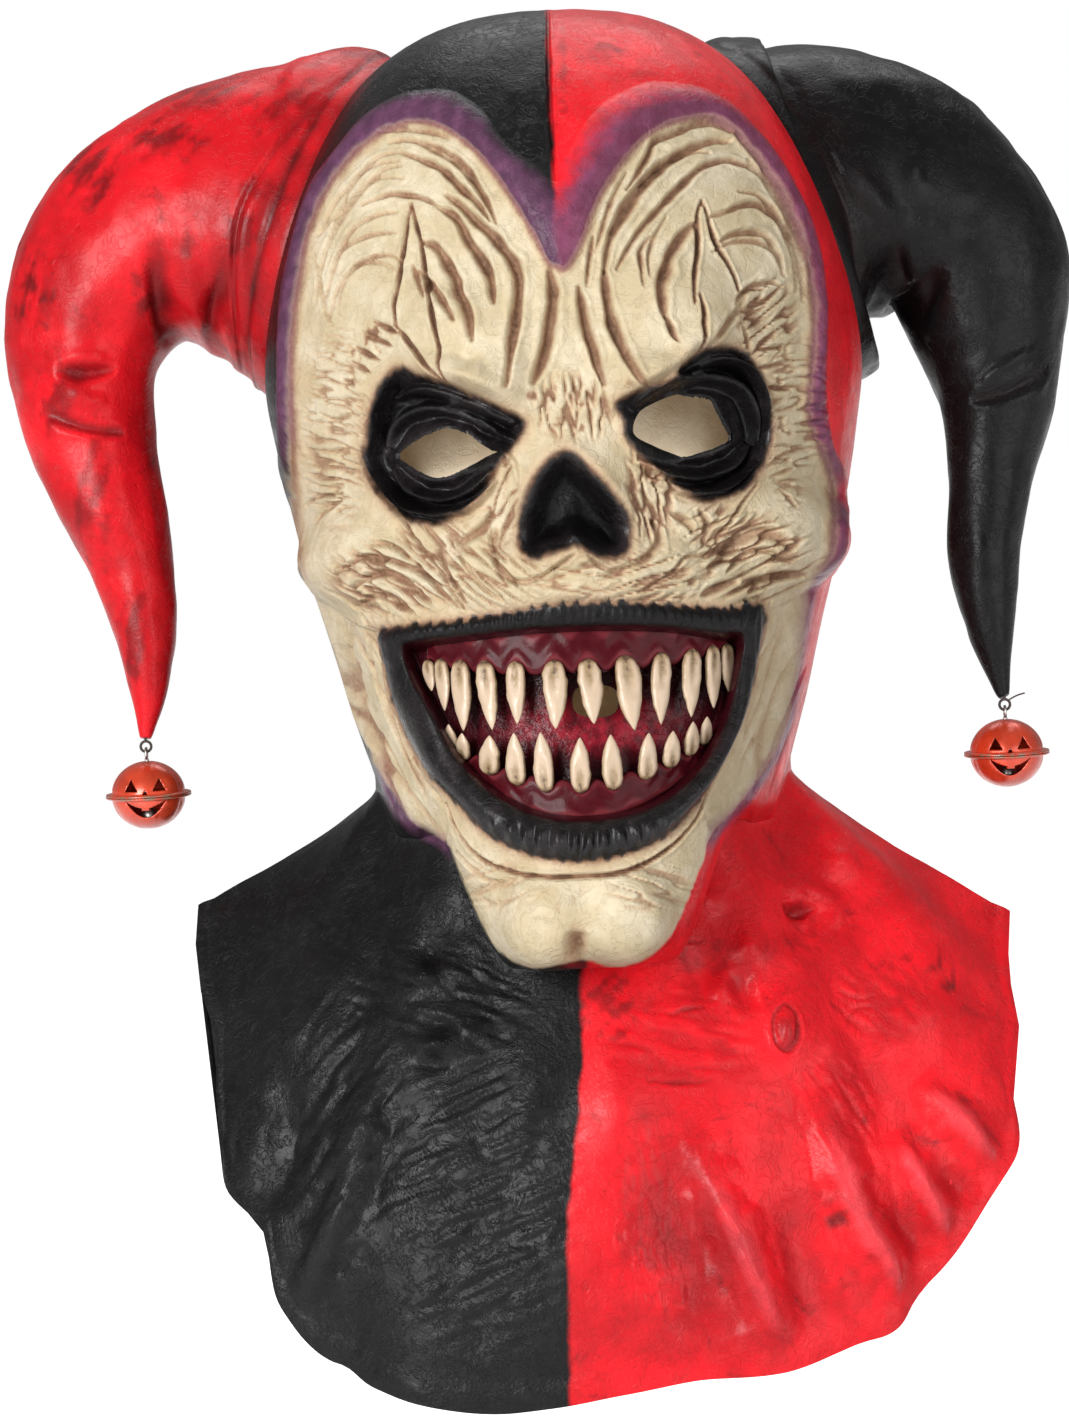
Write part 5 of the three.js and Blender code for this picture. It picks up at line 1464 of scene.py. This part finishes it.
class MASK_OT_skin(bpy.types.Operator):
    """Builds the painted outer skin, the lining and the cut hem"""

    bl_idname = "mask.skin"
    bl_label = "Skin and lining"

    def execute(self, context):
        colours, sizes = context.scene.mask_colours, context.scene.mask_sizes
        angles = column_angles()
        rows, breaks = row_places()
        row, angle = np.meshgrid(rows, angles, indexing="ij")
        points, paint, opening = head_skin(row, angle, sizes)
        shares = np.linspace(0, 1, BIB_ROWS + 1)[1:]
        share, bib_angle = np.meshgrid(shares, angles, indexing="ij")
        bib_points, bib_paint = bib_skin(share, bib_angle, sizes)
        points = np.concatenate([points, bib_points])
        paint = {name: np.concatenate([amount, bib_paint[name]]) for name, amount in paint.items()}
        opening = np.concatenate([opening, np.full(share.shape, FAR_OUTSIDE)])
        normals = grid_normals(np.concatenate([points[:, -3:-1], points, points[:, 1:3]], axis=1))[:, 2:-2]
        finish = skin_finish(colours)
        face_columns = slice(0, FRONT_COLUMNS + 1)
        back_columns = slice(FRONT_COLUMNS, len(angles))
        bib_start = len(rows) - 1
        patches = {
            "forehead_skin": (slice(breaks[0], breaks[1] + 1), face_columns),
            "eyes_nose_skin": (slice(breaks[1], breaks[2] + 1), face_columns),
            "jaw_skin": (slice(breaks[2], breaks[3] + 1), face_columns),
            "cap_crown_skin": (slice(0, breaks[0] + 1), slice(None)),
            "cap_back_skin": (slice(breaks[0], breaks[3] + 1), back_columns),
            "throat_skin": (slice(breaks[3], bib_start + 1), slice(None)),
            "bib_front_skin": (slice(bib_start, None), slice(None)),
        }
        for name, part in patches.items():
            self.patch(name, part, points, paint, opening, normals, finish)
        self.lining(points, opening, breaks, lining_finish(colours), sizes)
        return {"FINISHED"}

    def patch(self, name, part, points, paint, opening, normals, finish):
        grid = points[part]
        flat = grid.reshape(-1, 3)
        out = normals[part].reshape(-1, 3)
        gaps = opening[part].ravel()
        areas = {area: amount[part].ravel() for area, amount in paint.items()}
        faces = quads(*grid.shape[:2])
        if name == "cap_crown_skin":
            faces = np.vstack([faces, crown_lid(grid)])
        if (gaps > 0).any():
            flat, faces = cut_openings(flat, faces, gaps)
            flat, faces, ends = turn_in(flat, faces, gaps, out)
            out = np.vstack([out, out[ends]])
            areas = {area: np.concatenate([amount, amount[ends]]) for area, amount in areas.items()}
        piece = make_piece(name, flat, faces, finish, areas, out)
        settle(piece, "mask", "latex", "mask_shell")

    def lining(self, points, opening, breaks, finish, sizes):
        count, across = points.shape[:2]
        wall = sizes.skin_wall / MM
        lines = np.unique(np.append(np.arange(0, count, LINING_STEP), count - 1))
        columns = np.unique(np.append(np.arange(0, across, LINING_STEP), across - 1))
        some = np.ix_(lines, columns)
        coarse = points[some]
        out = grid_normals(coarse)
        inner = coarse - out * wall
        off_sides = (columns > LINING_SIDE_COLUMNS) & (columns < FRONT_COLUMNS - LINING_SIDE_COLUMNS)
        on_face = (lines < count - BIB_ROWS)[:, None] & off_sides
        behind = deepest(points[..., 1], LINING_STEP + 2)[some] + wall
        at_eyes = ((lines > breaks[1]) & (lines < breaks[2]))[:, None]
        ahead = np.where(at_eyes, 1, smoothstep(-0.2, -0.6, out[..., 1])) * on_face
        inner[..., 1] += ahead * np.clip(behind - inner[..., 1], 0, LINING_PULL)
        grid = np.concatenate([inner, coarse[-1:]])
        gaps = np.concatenate([opening[some], np.full((1, len(columns)), FAR_OUTSIDE)]).ravel()
        faces = np.vstack([quads(*grid.shape[:2]), crown_lid(grid)])[:, ::-1]
        kept = faces[gaps[faces].max(axis=1) < -1.2]
        start, end = RIM_LINES
        rim = np.append(smoothstep(count - start, count - end, lines), 1)
        piece = make_piece("lining", grid.reshape(-1, 3), kept, finish, {"rim": np.repeat(rim, len(columns))})
        settle(piece, "mask", "latex", "mask_shell")


def leaves_cap(points):
    """True where points stand outside the head's sides."""
    fine = np.linspace(0.05, NECK_ROW - 2, 400)
    section = read_rows(HEAD_SECTIONS, fine)
    row = np.interp(-points[..., 2], -section[:, 1], fine)
    at = read_rows(HEAD_SECTIONS, row)
    depth = np.where(points[..., 1] < 0, at[..., 3], at[..., 4])
    return np.hypot(points[..., 0] / at[..., 2], points[..., 1] / depth) > 1


class MASK_OT_horns(bpy.types.Operator):
    """Builds the two drooping cap horns with their glued base flange and folds"""

    bl_idname = "mask.horns"
    bl_label = "Cap horns"
    lines = 190
    sides = 120

    def execute(self, context):
        sizes, colours = context.scene.mask_sizes, context.scene.mask_colours
        for side, stations in HORN_STATIONS.items():
            self.horn(side, stations, sizes, horn_finish(colours, side))
        return {"FINISHED"}

    def ring(self, stations, place, turn):
        """Points of the plain horn and their outward directions."""
        last = len(stations) - 1
        here = read_rows(stations, place)
        ahead = read_rows(stations, np.minimum(place + 0.3, last))[..., :3]
        behind = read_rows(stations, np.maximum(place - 0.3, 0))[..., :3]
        axis = unit(ahead - behind)
        across = unit(np.stack([-axis[..., 2], np.zeros(place.shape), axis[..., 0]], axis=-1))
        deep = np.cross(axis, across)
        depth = HORN_DEPTH_SHARE + (1 - HORN_DEPTH_SHARE) * place / last
        out = across * np.cos(turn)[..., None] + deep * (depth * np.sin(turn))[..., None]
        return here[..., :3] + out * here[..., 3:4], out

    def horn(self, side, stations, sizes, finish):
        last = len(stations) - 1
        turns = full_turn(self.sides)
        scan, turn = np.meshgrid(np.linspace(0, 6, 480), turns, indexing="ij")
        outside = leaves_cap(self.ring(stations, scan, turn)[0])
        first = np.array([np.flatnonzero(~outside[:, k])[-1] for k in range(self.sides)])
        start = scan[first, 0] - 0.03
        share = np.linspace(0, 1, self.lines)[:, None]
        place = start + (last - start) * share
        turn = np.broadcast_to(turns, place.shape)
        points, out = self.ring(stations, place, turn)
        run = np.cumsum(np.linalg.norm(np.diff(points, axis=0, prepend=points[:1]), axis=-1), axis=0)
        front = smoothstep(0.0, 0.35, -out[..., 1])
        px, py = seen_at(points)
        wobble = lattice_noise(points, 7, 3)
        # The wash of the horn lines is painted shade in the folds and creases.
        drawn, wash = draw_lines(HORN_LINES[side], px, py, wobble)
        wash = np.maximum(wash, dirty(HORN_DIRT[side], points, px, py))
        slim = smoothstep(0, 0.25, 1 - share)
        relief = drawn * front * sizes.wrinkle_depth
        relief += (1.6 * lattice_noise(points, 24, 4) + 0.5 * wobble) * slim * smoothstep(0, 12, run)
        flange_groove = hump(run, 9, 1.6)
        relief += 1.6 * (1 - smoothstep(0, 7, run)) - 0.8 * flange_groove
        points = points + unit(out) * relief[..., None]
        base_dirt = 0.5 * flange_groove + 0.35 * (1 - smoothstep(0, 3, run))
        base_dirt += (0.25 + 0.25 * lattice_noise(points, 6, 15)) * (1 - smoothstep(12, 40, run))
        wash = np.clip(np.maximum(wash * front, base_dirt), 0, 1).ravel()
        flat = points.reshape(-1, 3)
        tip = flat[-self.sides:].mean(axis=0)
        faces = quads(self.lines, self.sides, True).tolist()
        lowest = len(flat) - self.sides
        faces += [(lowest + k, len(flat), lowest + (k + 1) % self.sides) for k in range(self.sides)]
        paint = {"wash": np.append(wash, 0)}
        piece = make_piece("horn_skin_" + side, np.vstack([flat, tip]), faces, finish, paint)
        settle(piece, "mask", side + "_latex", "horn_" + side)


class MASK_OT_gums(bpy.types.Operator):
    """Builds the scalloped wet gums"""

    bl_idname = "mask.gums"
    bl_label = "Gums"
    sections = 200
    turns = 40

    def execute(self, context):
        finish = gum_finish(context.scene.mask_colours)
        for name, size in GUMS.items():
            self.gum(name, size, finish)
        return {"FINISHED"}

    def gum(self, name, size, finish):
        half_x, top_mid, bottom_mid, top_end, bottom_end = size
        x = np.linspace(-half_x, half_x, self.sections)[:, None]
        bow = (x / half_x) ** 2
        top = top_mid + (top_end - top_mid) * bow
        bottom = bottom_mid + (bottom_end - bottom_mid) * bow
        lip, root = (bottom, top) if name == "upper" else (top, bottom)
        roots = np.array([fang[0] for fang in FANGS[name]])
        widths = np.array([fang[4] for fang in FANGS[name]])
        near = hump(x, roots, 0.48 * widths).max(axis=1, keepdims=True)
        soft = hump(x, roots, 0.8 * widths).max(axis=1, keepdims=True)
        lip = lip + (GUM_SCALLOP if name == "lower" else -GUM_SCALLOP) * (1 - near)
        turn = full_turn(self.turns)[None]
        across = 0.5 - 0.5 * np.cos(turn)
        forward = np.clip(np.sin(turn), 0, 1) ** 0.6
        z = root + (lip - root) * across
        wave = np.sin(across * 7.5 + 1.3 * soft + 0.35 * np.sin(x * 0.5))
        front_lift = GUM_LIP_LIFT + (GUM_FRONT_LIFT - GUM_LIP_LIFT) * forward
        lift = np.where(np.sin(turn) > 0, front_lift + 0.4 * wave * forward, GUM_BACK_LIFT)
        points = face_point(np.broadcast_to(x, z.shape), z, lift)
        # Painted highlight along the crests of the gum's waves.
        gum_highlight = np.clip(wave * forward, 0, 1) ** 2
        flat = points.reshape(-1, 3)
        faces = quads(self.sections, self.turns, True)[:, ::-1].tolist()
        faces += end_caps(len(flat), self.turns)
        piece = make_piece("gum_flesh_" + name, flat, faces, finish, {"gum_highlight": gum_highlight.ravel()})
        settle(piece, "mask", "gum", "gum_" + name)


class MASK_OT_fangs(bpy.types.Operator):
    """Builds the two rows of stained fangs"""

    bl_idname = "mask.fangs"
    bl_label = "Fangs"
    lines = 28
    turns = 24

    def execute(self, context):
        finish = fang_finish(context.scene.mask_colours)
        for name, row in FANGS.items():
            made = [self.fang(fang) for fang in row]
            points, faces = joined([part for part, _ in made])
            stain = np.concatenate([stain for _, stain in made])
            piece = make_piece("fang_row_" + name, points, faces, finish, {"stain": stain})
            nodes = [f"fang_{name}_{k + 1:02d}" for k in range(len(row))]
            settle(piece, "mask", "fang", *nodes)
        return {"FINISHED"}

    def fang(self, row):
        root_x, root_z, tip_x, tip_z, width = row
        along = np.linspace(0, 1, self.lines)[:, None]
        turn = full_turn(self.turns)[None]
        root_x += FANG_ROOT_REACH * (root_x - tip_x)
        root_z += FANG_ROOT_REACH * (root_z - tip_z)
        half = FANG_FULLNESS * width / 2 * np.interp(along, FANG_PROFILE[:, 0], FANG_PROFILE[:, 1])
        z = root_z + (tip_z - root_z) * along + 0 * turn
        round_x, round_y = root_x + 2.5 * np.cos(turn) + 0 * along, 2.5 * np.sin(turn) + 0 * along
        half = half * (1 + 0.13 * lattice_noise(np.stack([round_x, round_y, z], axis=-1), 2.6, 31))
        x = root_x + (tip_x - root_x) * along + half * np.cos(turn)
        front = np.clip(np.sin(turn), 0, 1)
        scoop = 0.28 * half * hump(np.cos(turn), 0, 0.5) * front * (1 - smoothstep(0.35, 0.75, along))
        lift = FANG_ROOT_LIFT + (FANG_TIP_LIFT - FANG_ROOT_LIFT) * along
        lift = lift + half * FANG_DEPTH_SHARE * np.sin(turn) - scoop
        points = face_point(x, z, lift)
        scooped = hump(np.cos(turn), 0, 0.45) * front * (1 - smoothstep(0.15, 0.6, along))
        edges = 0.5 * smoothstep(0.75, 1, np.abs(np.cos(turn))) * (1 - 0.5 * along)
        at_root = 1 - smoothstep(0, 0.16, along) + 0 * turn
        stain = np.clip(np.maximum.reduce([0.85 * scooped, 1.3 * edges + 0 * along, at_root]), 0, 1)
        flat = points.reshape(-1, 3)
        faces = quads(self.lines, self.turns, True).tolist()
        faces += end_caps(len(flat), self.turns)
        return (flat, faces), stain.ravel()


def tube(line, radius, sides=10, closed=False):
    """A round tube along a line of points in mm."""
    line = np.asarray(line, float)
    if closed:
        axis = np.roll(line, -1, axis=0) - np.roll(line, 1, axis=0)
    else:
        axis = np.gradient(line, axis=0)
    axis = unit(axis)
    guide = np.where(np.abs(axis[:, 1:2]) < 0.9, np.array([[0, 1, 0]]), np.array([[1, 0, 0]]))
    side = unit(np.cross(axis, guide))
    up = np.cross(axis, side)
    turn = full_turn(sides)
    ring = side[:, None] * np.cos(turn)[:, None] + up[:, None] * np.sin(turn)[:, None]
    points = (line[:, None] + radius * ring).reshape(-1, 3)
    faces = quads(len(line), sides, True).tolist()
    last = len(points) - sides
    if closed:
        faces += [(last + k, k, (k + 1) % sides, last + (k + 1) % sides) for k in range(sides)]
    else:
        faces += end_caps(len(points), sides)
    return points, faces


def joined(parts):
    """Several point and face lists as one."""
    points, faces, count = [], [], 0
    for part_points, part_faces in parts:
        points.append(part_points)
        faces += [[corner + count for corner in face] for face in part_faces]
        count += len(part_points)
    return np.vstack(points), faces


def loop(centre, radius, axes, steps=40):
    """Points of a circle across two of the axes."""
    turn = full_turn(steps)
    line = np.tile(np.array(centre, float), (steps, 1))
    line[:, axes[0]] += radius * np.cos(turn)
    line[:, axes[1]] += radius * np.sin(turn)
    return line


def upward(height):
    return np.array([0, 0, height])


def thread_eye(side):
    """Centre of the thread's eye, which the bell hangs from."""
    return HORN_STATIONS[side][-1, :3] - upward(TIE_DROP)


class MASK_OT_ties(bpy.types.Operator):
    """Builds the threads that hang the bells"""

    bl_idname = "mask.ties"
    bl_label = "Bell threads"

    def execute(self, context):
        finish = thread_finish(context.scene.mask_colours)
        for side in HORN_STATIONS:
            eye = thread_eye(side)
            stem = np.linspace(eye + upward(TIE_STEM_SET + TIE_DROP), eye + upward(TIE_EYE), 12)
            parts = [tube(stem, TIE_STEM), tube(loop(eye, TIE_EYE, (0, 2)), TIE_THREAD, closed=True)]
            if side == "black":
                parts.append(tube(self.loose_end(eye), TIE_THREAD * 0.6, 8))
            points, faces = joined(parts)
            settle(make_piece("thread_" + side, points, faces, finish), "mask", "thread", "tie_" + side)
        return {"FINISHED"}

    def loose_end(self, eye):
        """The cut end of the knot, which sticks out above the swinging bell."""
        t = np.linspace(0, 1, 14)[:, None]
        start = eye + TIE_EYE * np.array([[0.66, 0, 0.75]])
        return start + np.hstack([6 * t, -1.2 * t, 2.4 * t + 0.4 * np.sin(3 * t)])


def bell_profile(way, hole):
    """Half a bell's closed section, radius and height, from its pole out round the flange and back inside."""
    inside = BELL_RADIUS - BELL_WALL

    def arc(radius, start, end, steps):
        angle = np.linspace(start, end, steps)
        return np.stack([radius * np.cos(angle), radius * BELL_HEIGHT_SHARE * np.sin(angle)], axis=1)

    flange_top = BELL_SEAM + BELL_FLANGE_HALF
    start = math.asin(flange_top / (BELL_RADIUS * BELL_HEIGHT_SHARE))
    start_inside = math.asin(BELL_SEAM / (inside * BELL_HEIGHT_SHARE))
    bend = np.linspace(math.pi / 2, 0, 6)[:, None]
    rim_radius = BELL_FLANGE_HALF * 0.7
    rim = np.hstack([np.cos(bend), np.sin(bend)]) * rim_radius
    rim += np.array([BELL_FLANGE - rim_radius, flange_top - rim_radius])
    profile = np.vstack([
        arc(BELL_RADIUS, math.acos(hole / BELL_RADIUS), start, BELL_ARC_STEPS),
        rim,
        [(BELL_FLANGE, BELL_SEAM)],
        arc(inside, start_inside, math.acos(hole / inside), 14),
    ])
    return profile * np.array([1, way])


class MASK_OT_bells(bpy.types.Operator):
    """Builds the pumpkin bells with their cut faces, wire shanks and pellets"""

    bl_idname = "mask.bells"
    bl_label = "Pumpkin bells"
    turns = 96
    ribs = 8

    def execute(self, context):
        colours, sizes = context.scene.mask_colours, context.scene.mask_sizes
        lacquer, wire = bell_finish(colours), wire_finish()
        for side in HORN_STATIONS:
            eye = thread_eye(side)
            body = "bell_" + side
            for half, way, hole in (("cap", 1, SHANK_HOLE), ("cup", -1, 0.8)):
                piece = self.half(f"pumpkin_{half}_{side}", way, hole, eye, lacquer, sizes)
                settle(piece, body, "pumpkin", f"bell_{side}_{half}")
            shank = make_piece("shank_wire_" + side, *self.shank(eye), wire)
            settle(shank, body, "steel", f"bell_{side}_shank")
            pellet = make_piece("pellet_ball_" + side, *self.pellet(eye), wire)
            settle(pellet, body, "steel", f"bell_{side}_pellet")
        return {"FINISHED"}

    def half(self, name, way, hole, eye, finish, sizes):
        profile = bell_profile(way, hole)
        turn = full_turn(self.turns)
        radius = profile[:, :1] + 0 * turn
        outside = np.arange(len(profile)) < BELL_ARC_STEPS
        rib = sizes.bell_rib / MM * (np.abs(np.cos(self.ribs / 2 * turn)) ** 0.5 - 0.6)
        round_share = np.clip(profile[:, 0] / BELL_RADIUS, 0, 1) * outside
        fade = round_share * smoothstep(0.8, 3, np.abs(profile[:, 1])) * smoothstep(0.1, 0.5, round_share)
        radius = radius + rib * fade[:, None]
        x, y = radius * np.sin(turn), -radius * np.cos(turn)
        z = np.broadcast_to(profile[:, 1:2] + BELL_CENTRE, x.shape)
        points = np.stack([x, y, z], axis=-1).reshape(-1, 3) + eye
        faces = (quads(len(profile) + 1, self.turns, True) % len(points))[:, ::-way]
        worn = np.repeat(smoothstep(BELL_RADIUS + 1, BELL_FLANGE, profile[:, 0]), self.turns)
        piece = make_piece(name, points, faces, finish, {"worn": worn})
        for outline in face_cuts(way):
            cut_through(piece, outline, eye)
        return piece

    def shank(self, eye):
        ring = tube(loop(eye + upward(SHANK_CENTRE), SHANK_RING, (1, 2)), SHANK_WIRE, closed=True)
        plate_top = eye + upward(BELL_TOP - BELL_WALL - PLATE_GAP)
        plate_middle = plate_top - upward(PLATE_HALF)
        stem = tube(np.linspace(eye + upward(SHANK_CENTRE - SHANK_RING), plate_middle, 8), SHANK_STEM, 14)
        plate = tube([plate_top, plate_middle, plate_middle - upward(PLATE_HALF)], PLATE_RADIUS, 18)
        return joined([ring, stem, plate])

    def pellet(self, eye):
        lines, sides = 18, 28
        floor = BELL_CENTRE - (BELL_RADIUS - BELL_WALL) * BELL_HEIGHT_SHARE
        centre = eye + upward(floor + PELLET_RADIUS + PELLET_LIFT)
        lat = np.linspace(-math.pi / 2 + 0.02, math.pi / 2 - 0.02, lines)[:, None]
        turn = full_turn(sides)[None]
        x, y, z = np.cos(lat) * np.cos(turn), np.cos(lat) * np.sin(turn), np.sin(lat) + 0 * turn
        points = (centre + PELLET_RADIUS * np.stack([x, y, z], axis=-1)).reshape(-1, 3)
        faces = quads(lines, sides, True).tolist() + end_caps(len(points), sides)
        return points, [face[::-1] for face in faces]


def face_cuts(way):
    """Outlines cut through half a bell, drawn in x and z about its centre."""
    if way > 0:
        eye = np.array([(-2.4, 2.2), (2.4, 2.2), (0, 6.6)])
        left, right = eye + np.array([-5, 0]), eye + np.array([5, 0])
        return left, right, np.array([(-1.1, 1.0), (1.1, 1.0), (0, 2.8)])
    t = np.linspace(-1, 1, 17)
    lower = np.stack([7.4 * t, -1.0 - 6.4 * (1 - t * t)], axis=1)
    back = np.linspace(1, 0.2, 7)
    right = np.stack([7.4 * back, -3.8 + 2.8 * back**2], axis=1)
    tooth = np.array([(1.4, -4.7), (-1.4, -4.7)])
    left = right[::-1] * np.array([-1, 1])
    return (np.vstack([lower[:-1], right, tooth, left[:-1]]),)


def cut_through(piece, outline, eye):
    """Cuts a flat outline through the front wall of a bell."""
    count = len(outline)
    centre = eye + upward(BELL_CENTRE)
    front = np.stack([outline[:, 0], np.full(count, -BELL_FLANGE - 1), outline[:, 1]], axis=1) + centre
    back = front + np.array([0, BELL_FLANGE - 3, 0])
    faces = [list(range(count)), list(range(2 * count - 1, count - 1, -1))]
    faces += [(k, k + count, (k + 1) % count + count, (k + 1) % count) for k in range(count)]
    cutter = make_piece("cutter", np.vstack([front, back]), faces, piece.data.materials[0])
    normals_outward(cutter)
    cut = piece.modifiers.new("cut", "BOOLEAN")
    cut.object = cutter
    cut.solver = "EXACT"
    shown = piece.evaluated_get(bpy.context.evaluated_depsgraph_get())
    piece.data = bpy.data.meshes.new_from_object(shown)
    piece.modifiers.clear()
    bpy.data.objects.remove(cutter)


def normals_outward(piece):
    work = bmesh.new()
    work.from_mesh(piece.data)
    bmesh.ops.recalc_face_normals(work, faces=work.faces)
    work.to_mesh(piece.data)
    work.free()


class MASK_OT_stage(bpy.types.Operator):
    """Sets the pale floor, the soft studio light and the camera"""

    bl_idname = "mask.stage"
    bl_label = "Stage"

    def execute(self, context):
        setup = context.scene.stage_setup
        self.camera(context.scene)
        self.floor(setup)
        self.sky(context.scene, setup)
        self.light("key_light", (-0.8, -1.3, 0.05), (0, 0, -0.27), 0.7, setup.key_power)
        self.light("fill_light", (1.1, -1.2, -0.2), (0, 0, -0.3), 1.2, setup.fill_power)
        self.light("top_light", (0.1, 0.6, 1.2), (0, 0, -0.15), 1.2, setup.top_power)
        inside = self.light("inside_light", (0, 0.09, -0.176), (0, 0.12, -0.176), 0.12, setup.inside_power)
        inside.data.shape = "RECTANGLE"
        inside.data.size_y = 0.02
        inside.visible_camera = False
        context.scene.view_settings.view_transform = "Standard"
        return {"FINISHED"}

    def camera(self, scene):
        lens = bpy.data.cameras.new("camera")
        lens.sensor_fit = "VERTICAL"
        lens.sensor_height = lens.sensor_width = SENSOR_MM
        lens.lens = SKETCH_FOCAL / SKETCH_HEIGHT * lens.sensor_height
        lean = math.radians(VIEW_LEAN_DEG)
        lens.shift_x = -SKETCH_AXIS * math.cos(lean) / SKETCH_HEIGHT
        lens.shift_y = -SKETCH_AXIS * math.sin(lean) / SKETCH_HEIGHT
        lens.clip_end = 100
        camera = bpy.data.objects.new("camera", lens)
        tilt = math.pi / 2 - math.radians(VIEW_RISE_DEG)
        aim = Matrix.Rotation(tilt, 4, "X") @ Matrix.Rotation(-lean, 4, "Z")
        camera.matrix_world = Matrix.Translation(VIEW_PLACE * MM) @ aim
        scene.collection.objects.link(camera)
        scene.camera = camera

    def floor(self, setup):
        glow = {"emission_color": (1, 1, 1, 1), "emission_strength": setup.floor_glow}
        finish = Finish("pale_floor", roughness=0.9, **glow)
        finish.feed("Base Color", finish.mix(finish.noise(60, 2), (0.9, 0.9, 0.9), (0.93, 0.93, 0.93)))
        half = FLOOR_HALF / MM
        level = CAD_BOX[0].z / MM - setup.floor_drop / MM
        signs = np.array([(-1, -1), (1, -1), (1, 1), (-1, 1)])
        corners = np.hstack([half * signs, np.full((4, 1), level)])
        floor = make_piece("floor", corners, [(0, 1, 2, 3)], finish.material)
        floor.visible_diffuse = False

    def sky(self, scene, setup):
        world = bpy.data.worlds.new("white_surround")
        world.use_nodes = True
        surround = Nodes(world.node_tree)
        back = surround.tree.nodes["Background"]
        back.inputs["Color"].default_value = (1, 1, 1, 1)
        seen = surround.node("ShaderNodeLightPath", output="Is Camera Ray")
        sockets_of = {"Value": seen, "To Min": setup.sky, "To Max": 1.0}
        strength = surround.node("ShaderNodeMapRange", None, sockets_of)
        surround.tree.links.new(strength.socket, back.inputs["Strength"])
        scene.world = world

    def light(self, name, place, aim, size, power):
        lamp = bpy.data.lights.new(name, "AREA")
        lamp.energy = power
        lamp.size = size
        light = bpy.data.objects.new(name, lamp)
        light.location = place
        light.rotation_euler = (Vector(aim) - Vector(place)).to_track_quat("-Z", "Y").to_euler()
        bpy.context.scene.collection.objects.link(light)
        return light


OPERATORS = (
    MASK_OT_stage, MASK_OT_skin, MASK_OT_horns, MASK_OT_gums, MASK_OT_fangs, MASK_OT_ties, MASK_OT_bells,
)


class MASK_PT_panel(bpy.types.Panel):
    """Steps that build the mask"""

    bl_idname = "MASK_PT_panel"
    bl_label = "Jester Mask"
    bl_space_type = "VIEW_3D"
    bl_region_type = "UI"
    bl_category = "Jester Mask"

    def draw(self, context):
        for operator in OPERATORS:
            self.layout.operator(operator.bl_idname)


GROUPS = (MaskColours, MaskSizes, StageSetup)
CLASSES = (*GROUPS, *OPERATORS, MASK_PT_panel)


def register():
    for cls in CLASSES:
        bpy.utils.register_class(cls)
    bpy.types.Scene.mask_colours = bpy.props.PointerProperty(type=MaskColours)
    bpy.types.Scene.mask_sizes = bpy.props.PointerProperty(type=MaskSizes)
    bpy.types.Scene.stage_setup = bpy.props.PointerProperty(type=StageSetup)


def unregister():
    del bpy.types.Scene.mask_colours
    del bpy.types.Scene.mask_sizes
    del bpy.types.Scene.stage_setup
    for cls in reversed(CLASSES):
        bpy.utils.unregister_class(cls)


def main():
    register()
    bpy.ops.mask.stage()
    bpy.ops.mask.skin()
    bpy.ops.mask.horns()
    bpy.ops.mask.gums()
    bpy.ops.mask.fangs()
    bpy.ops.mask.ties()
    bpy.ops.mask.bells()


if __name__ == "__main__":
    main()
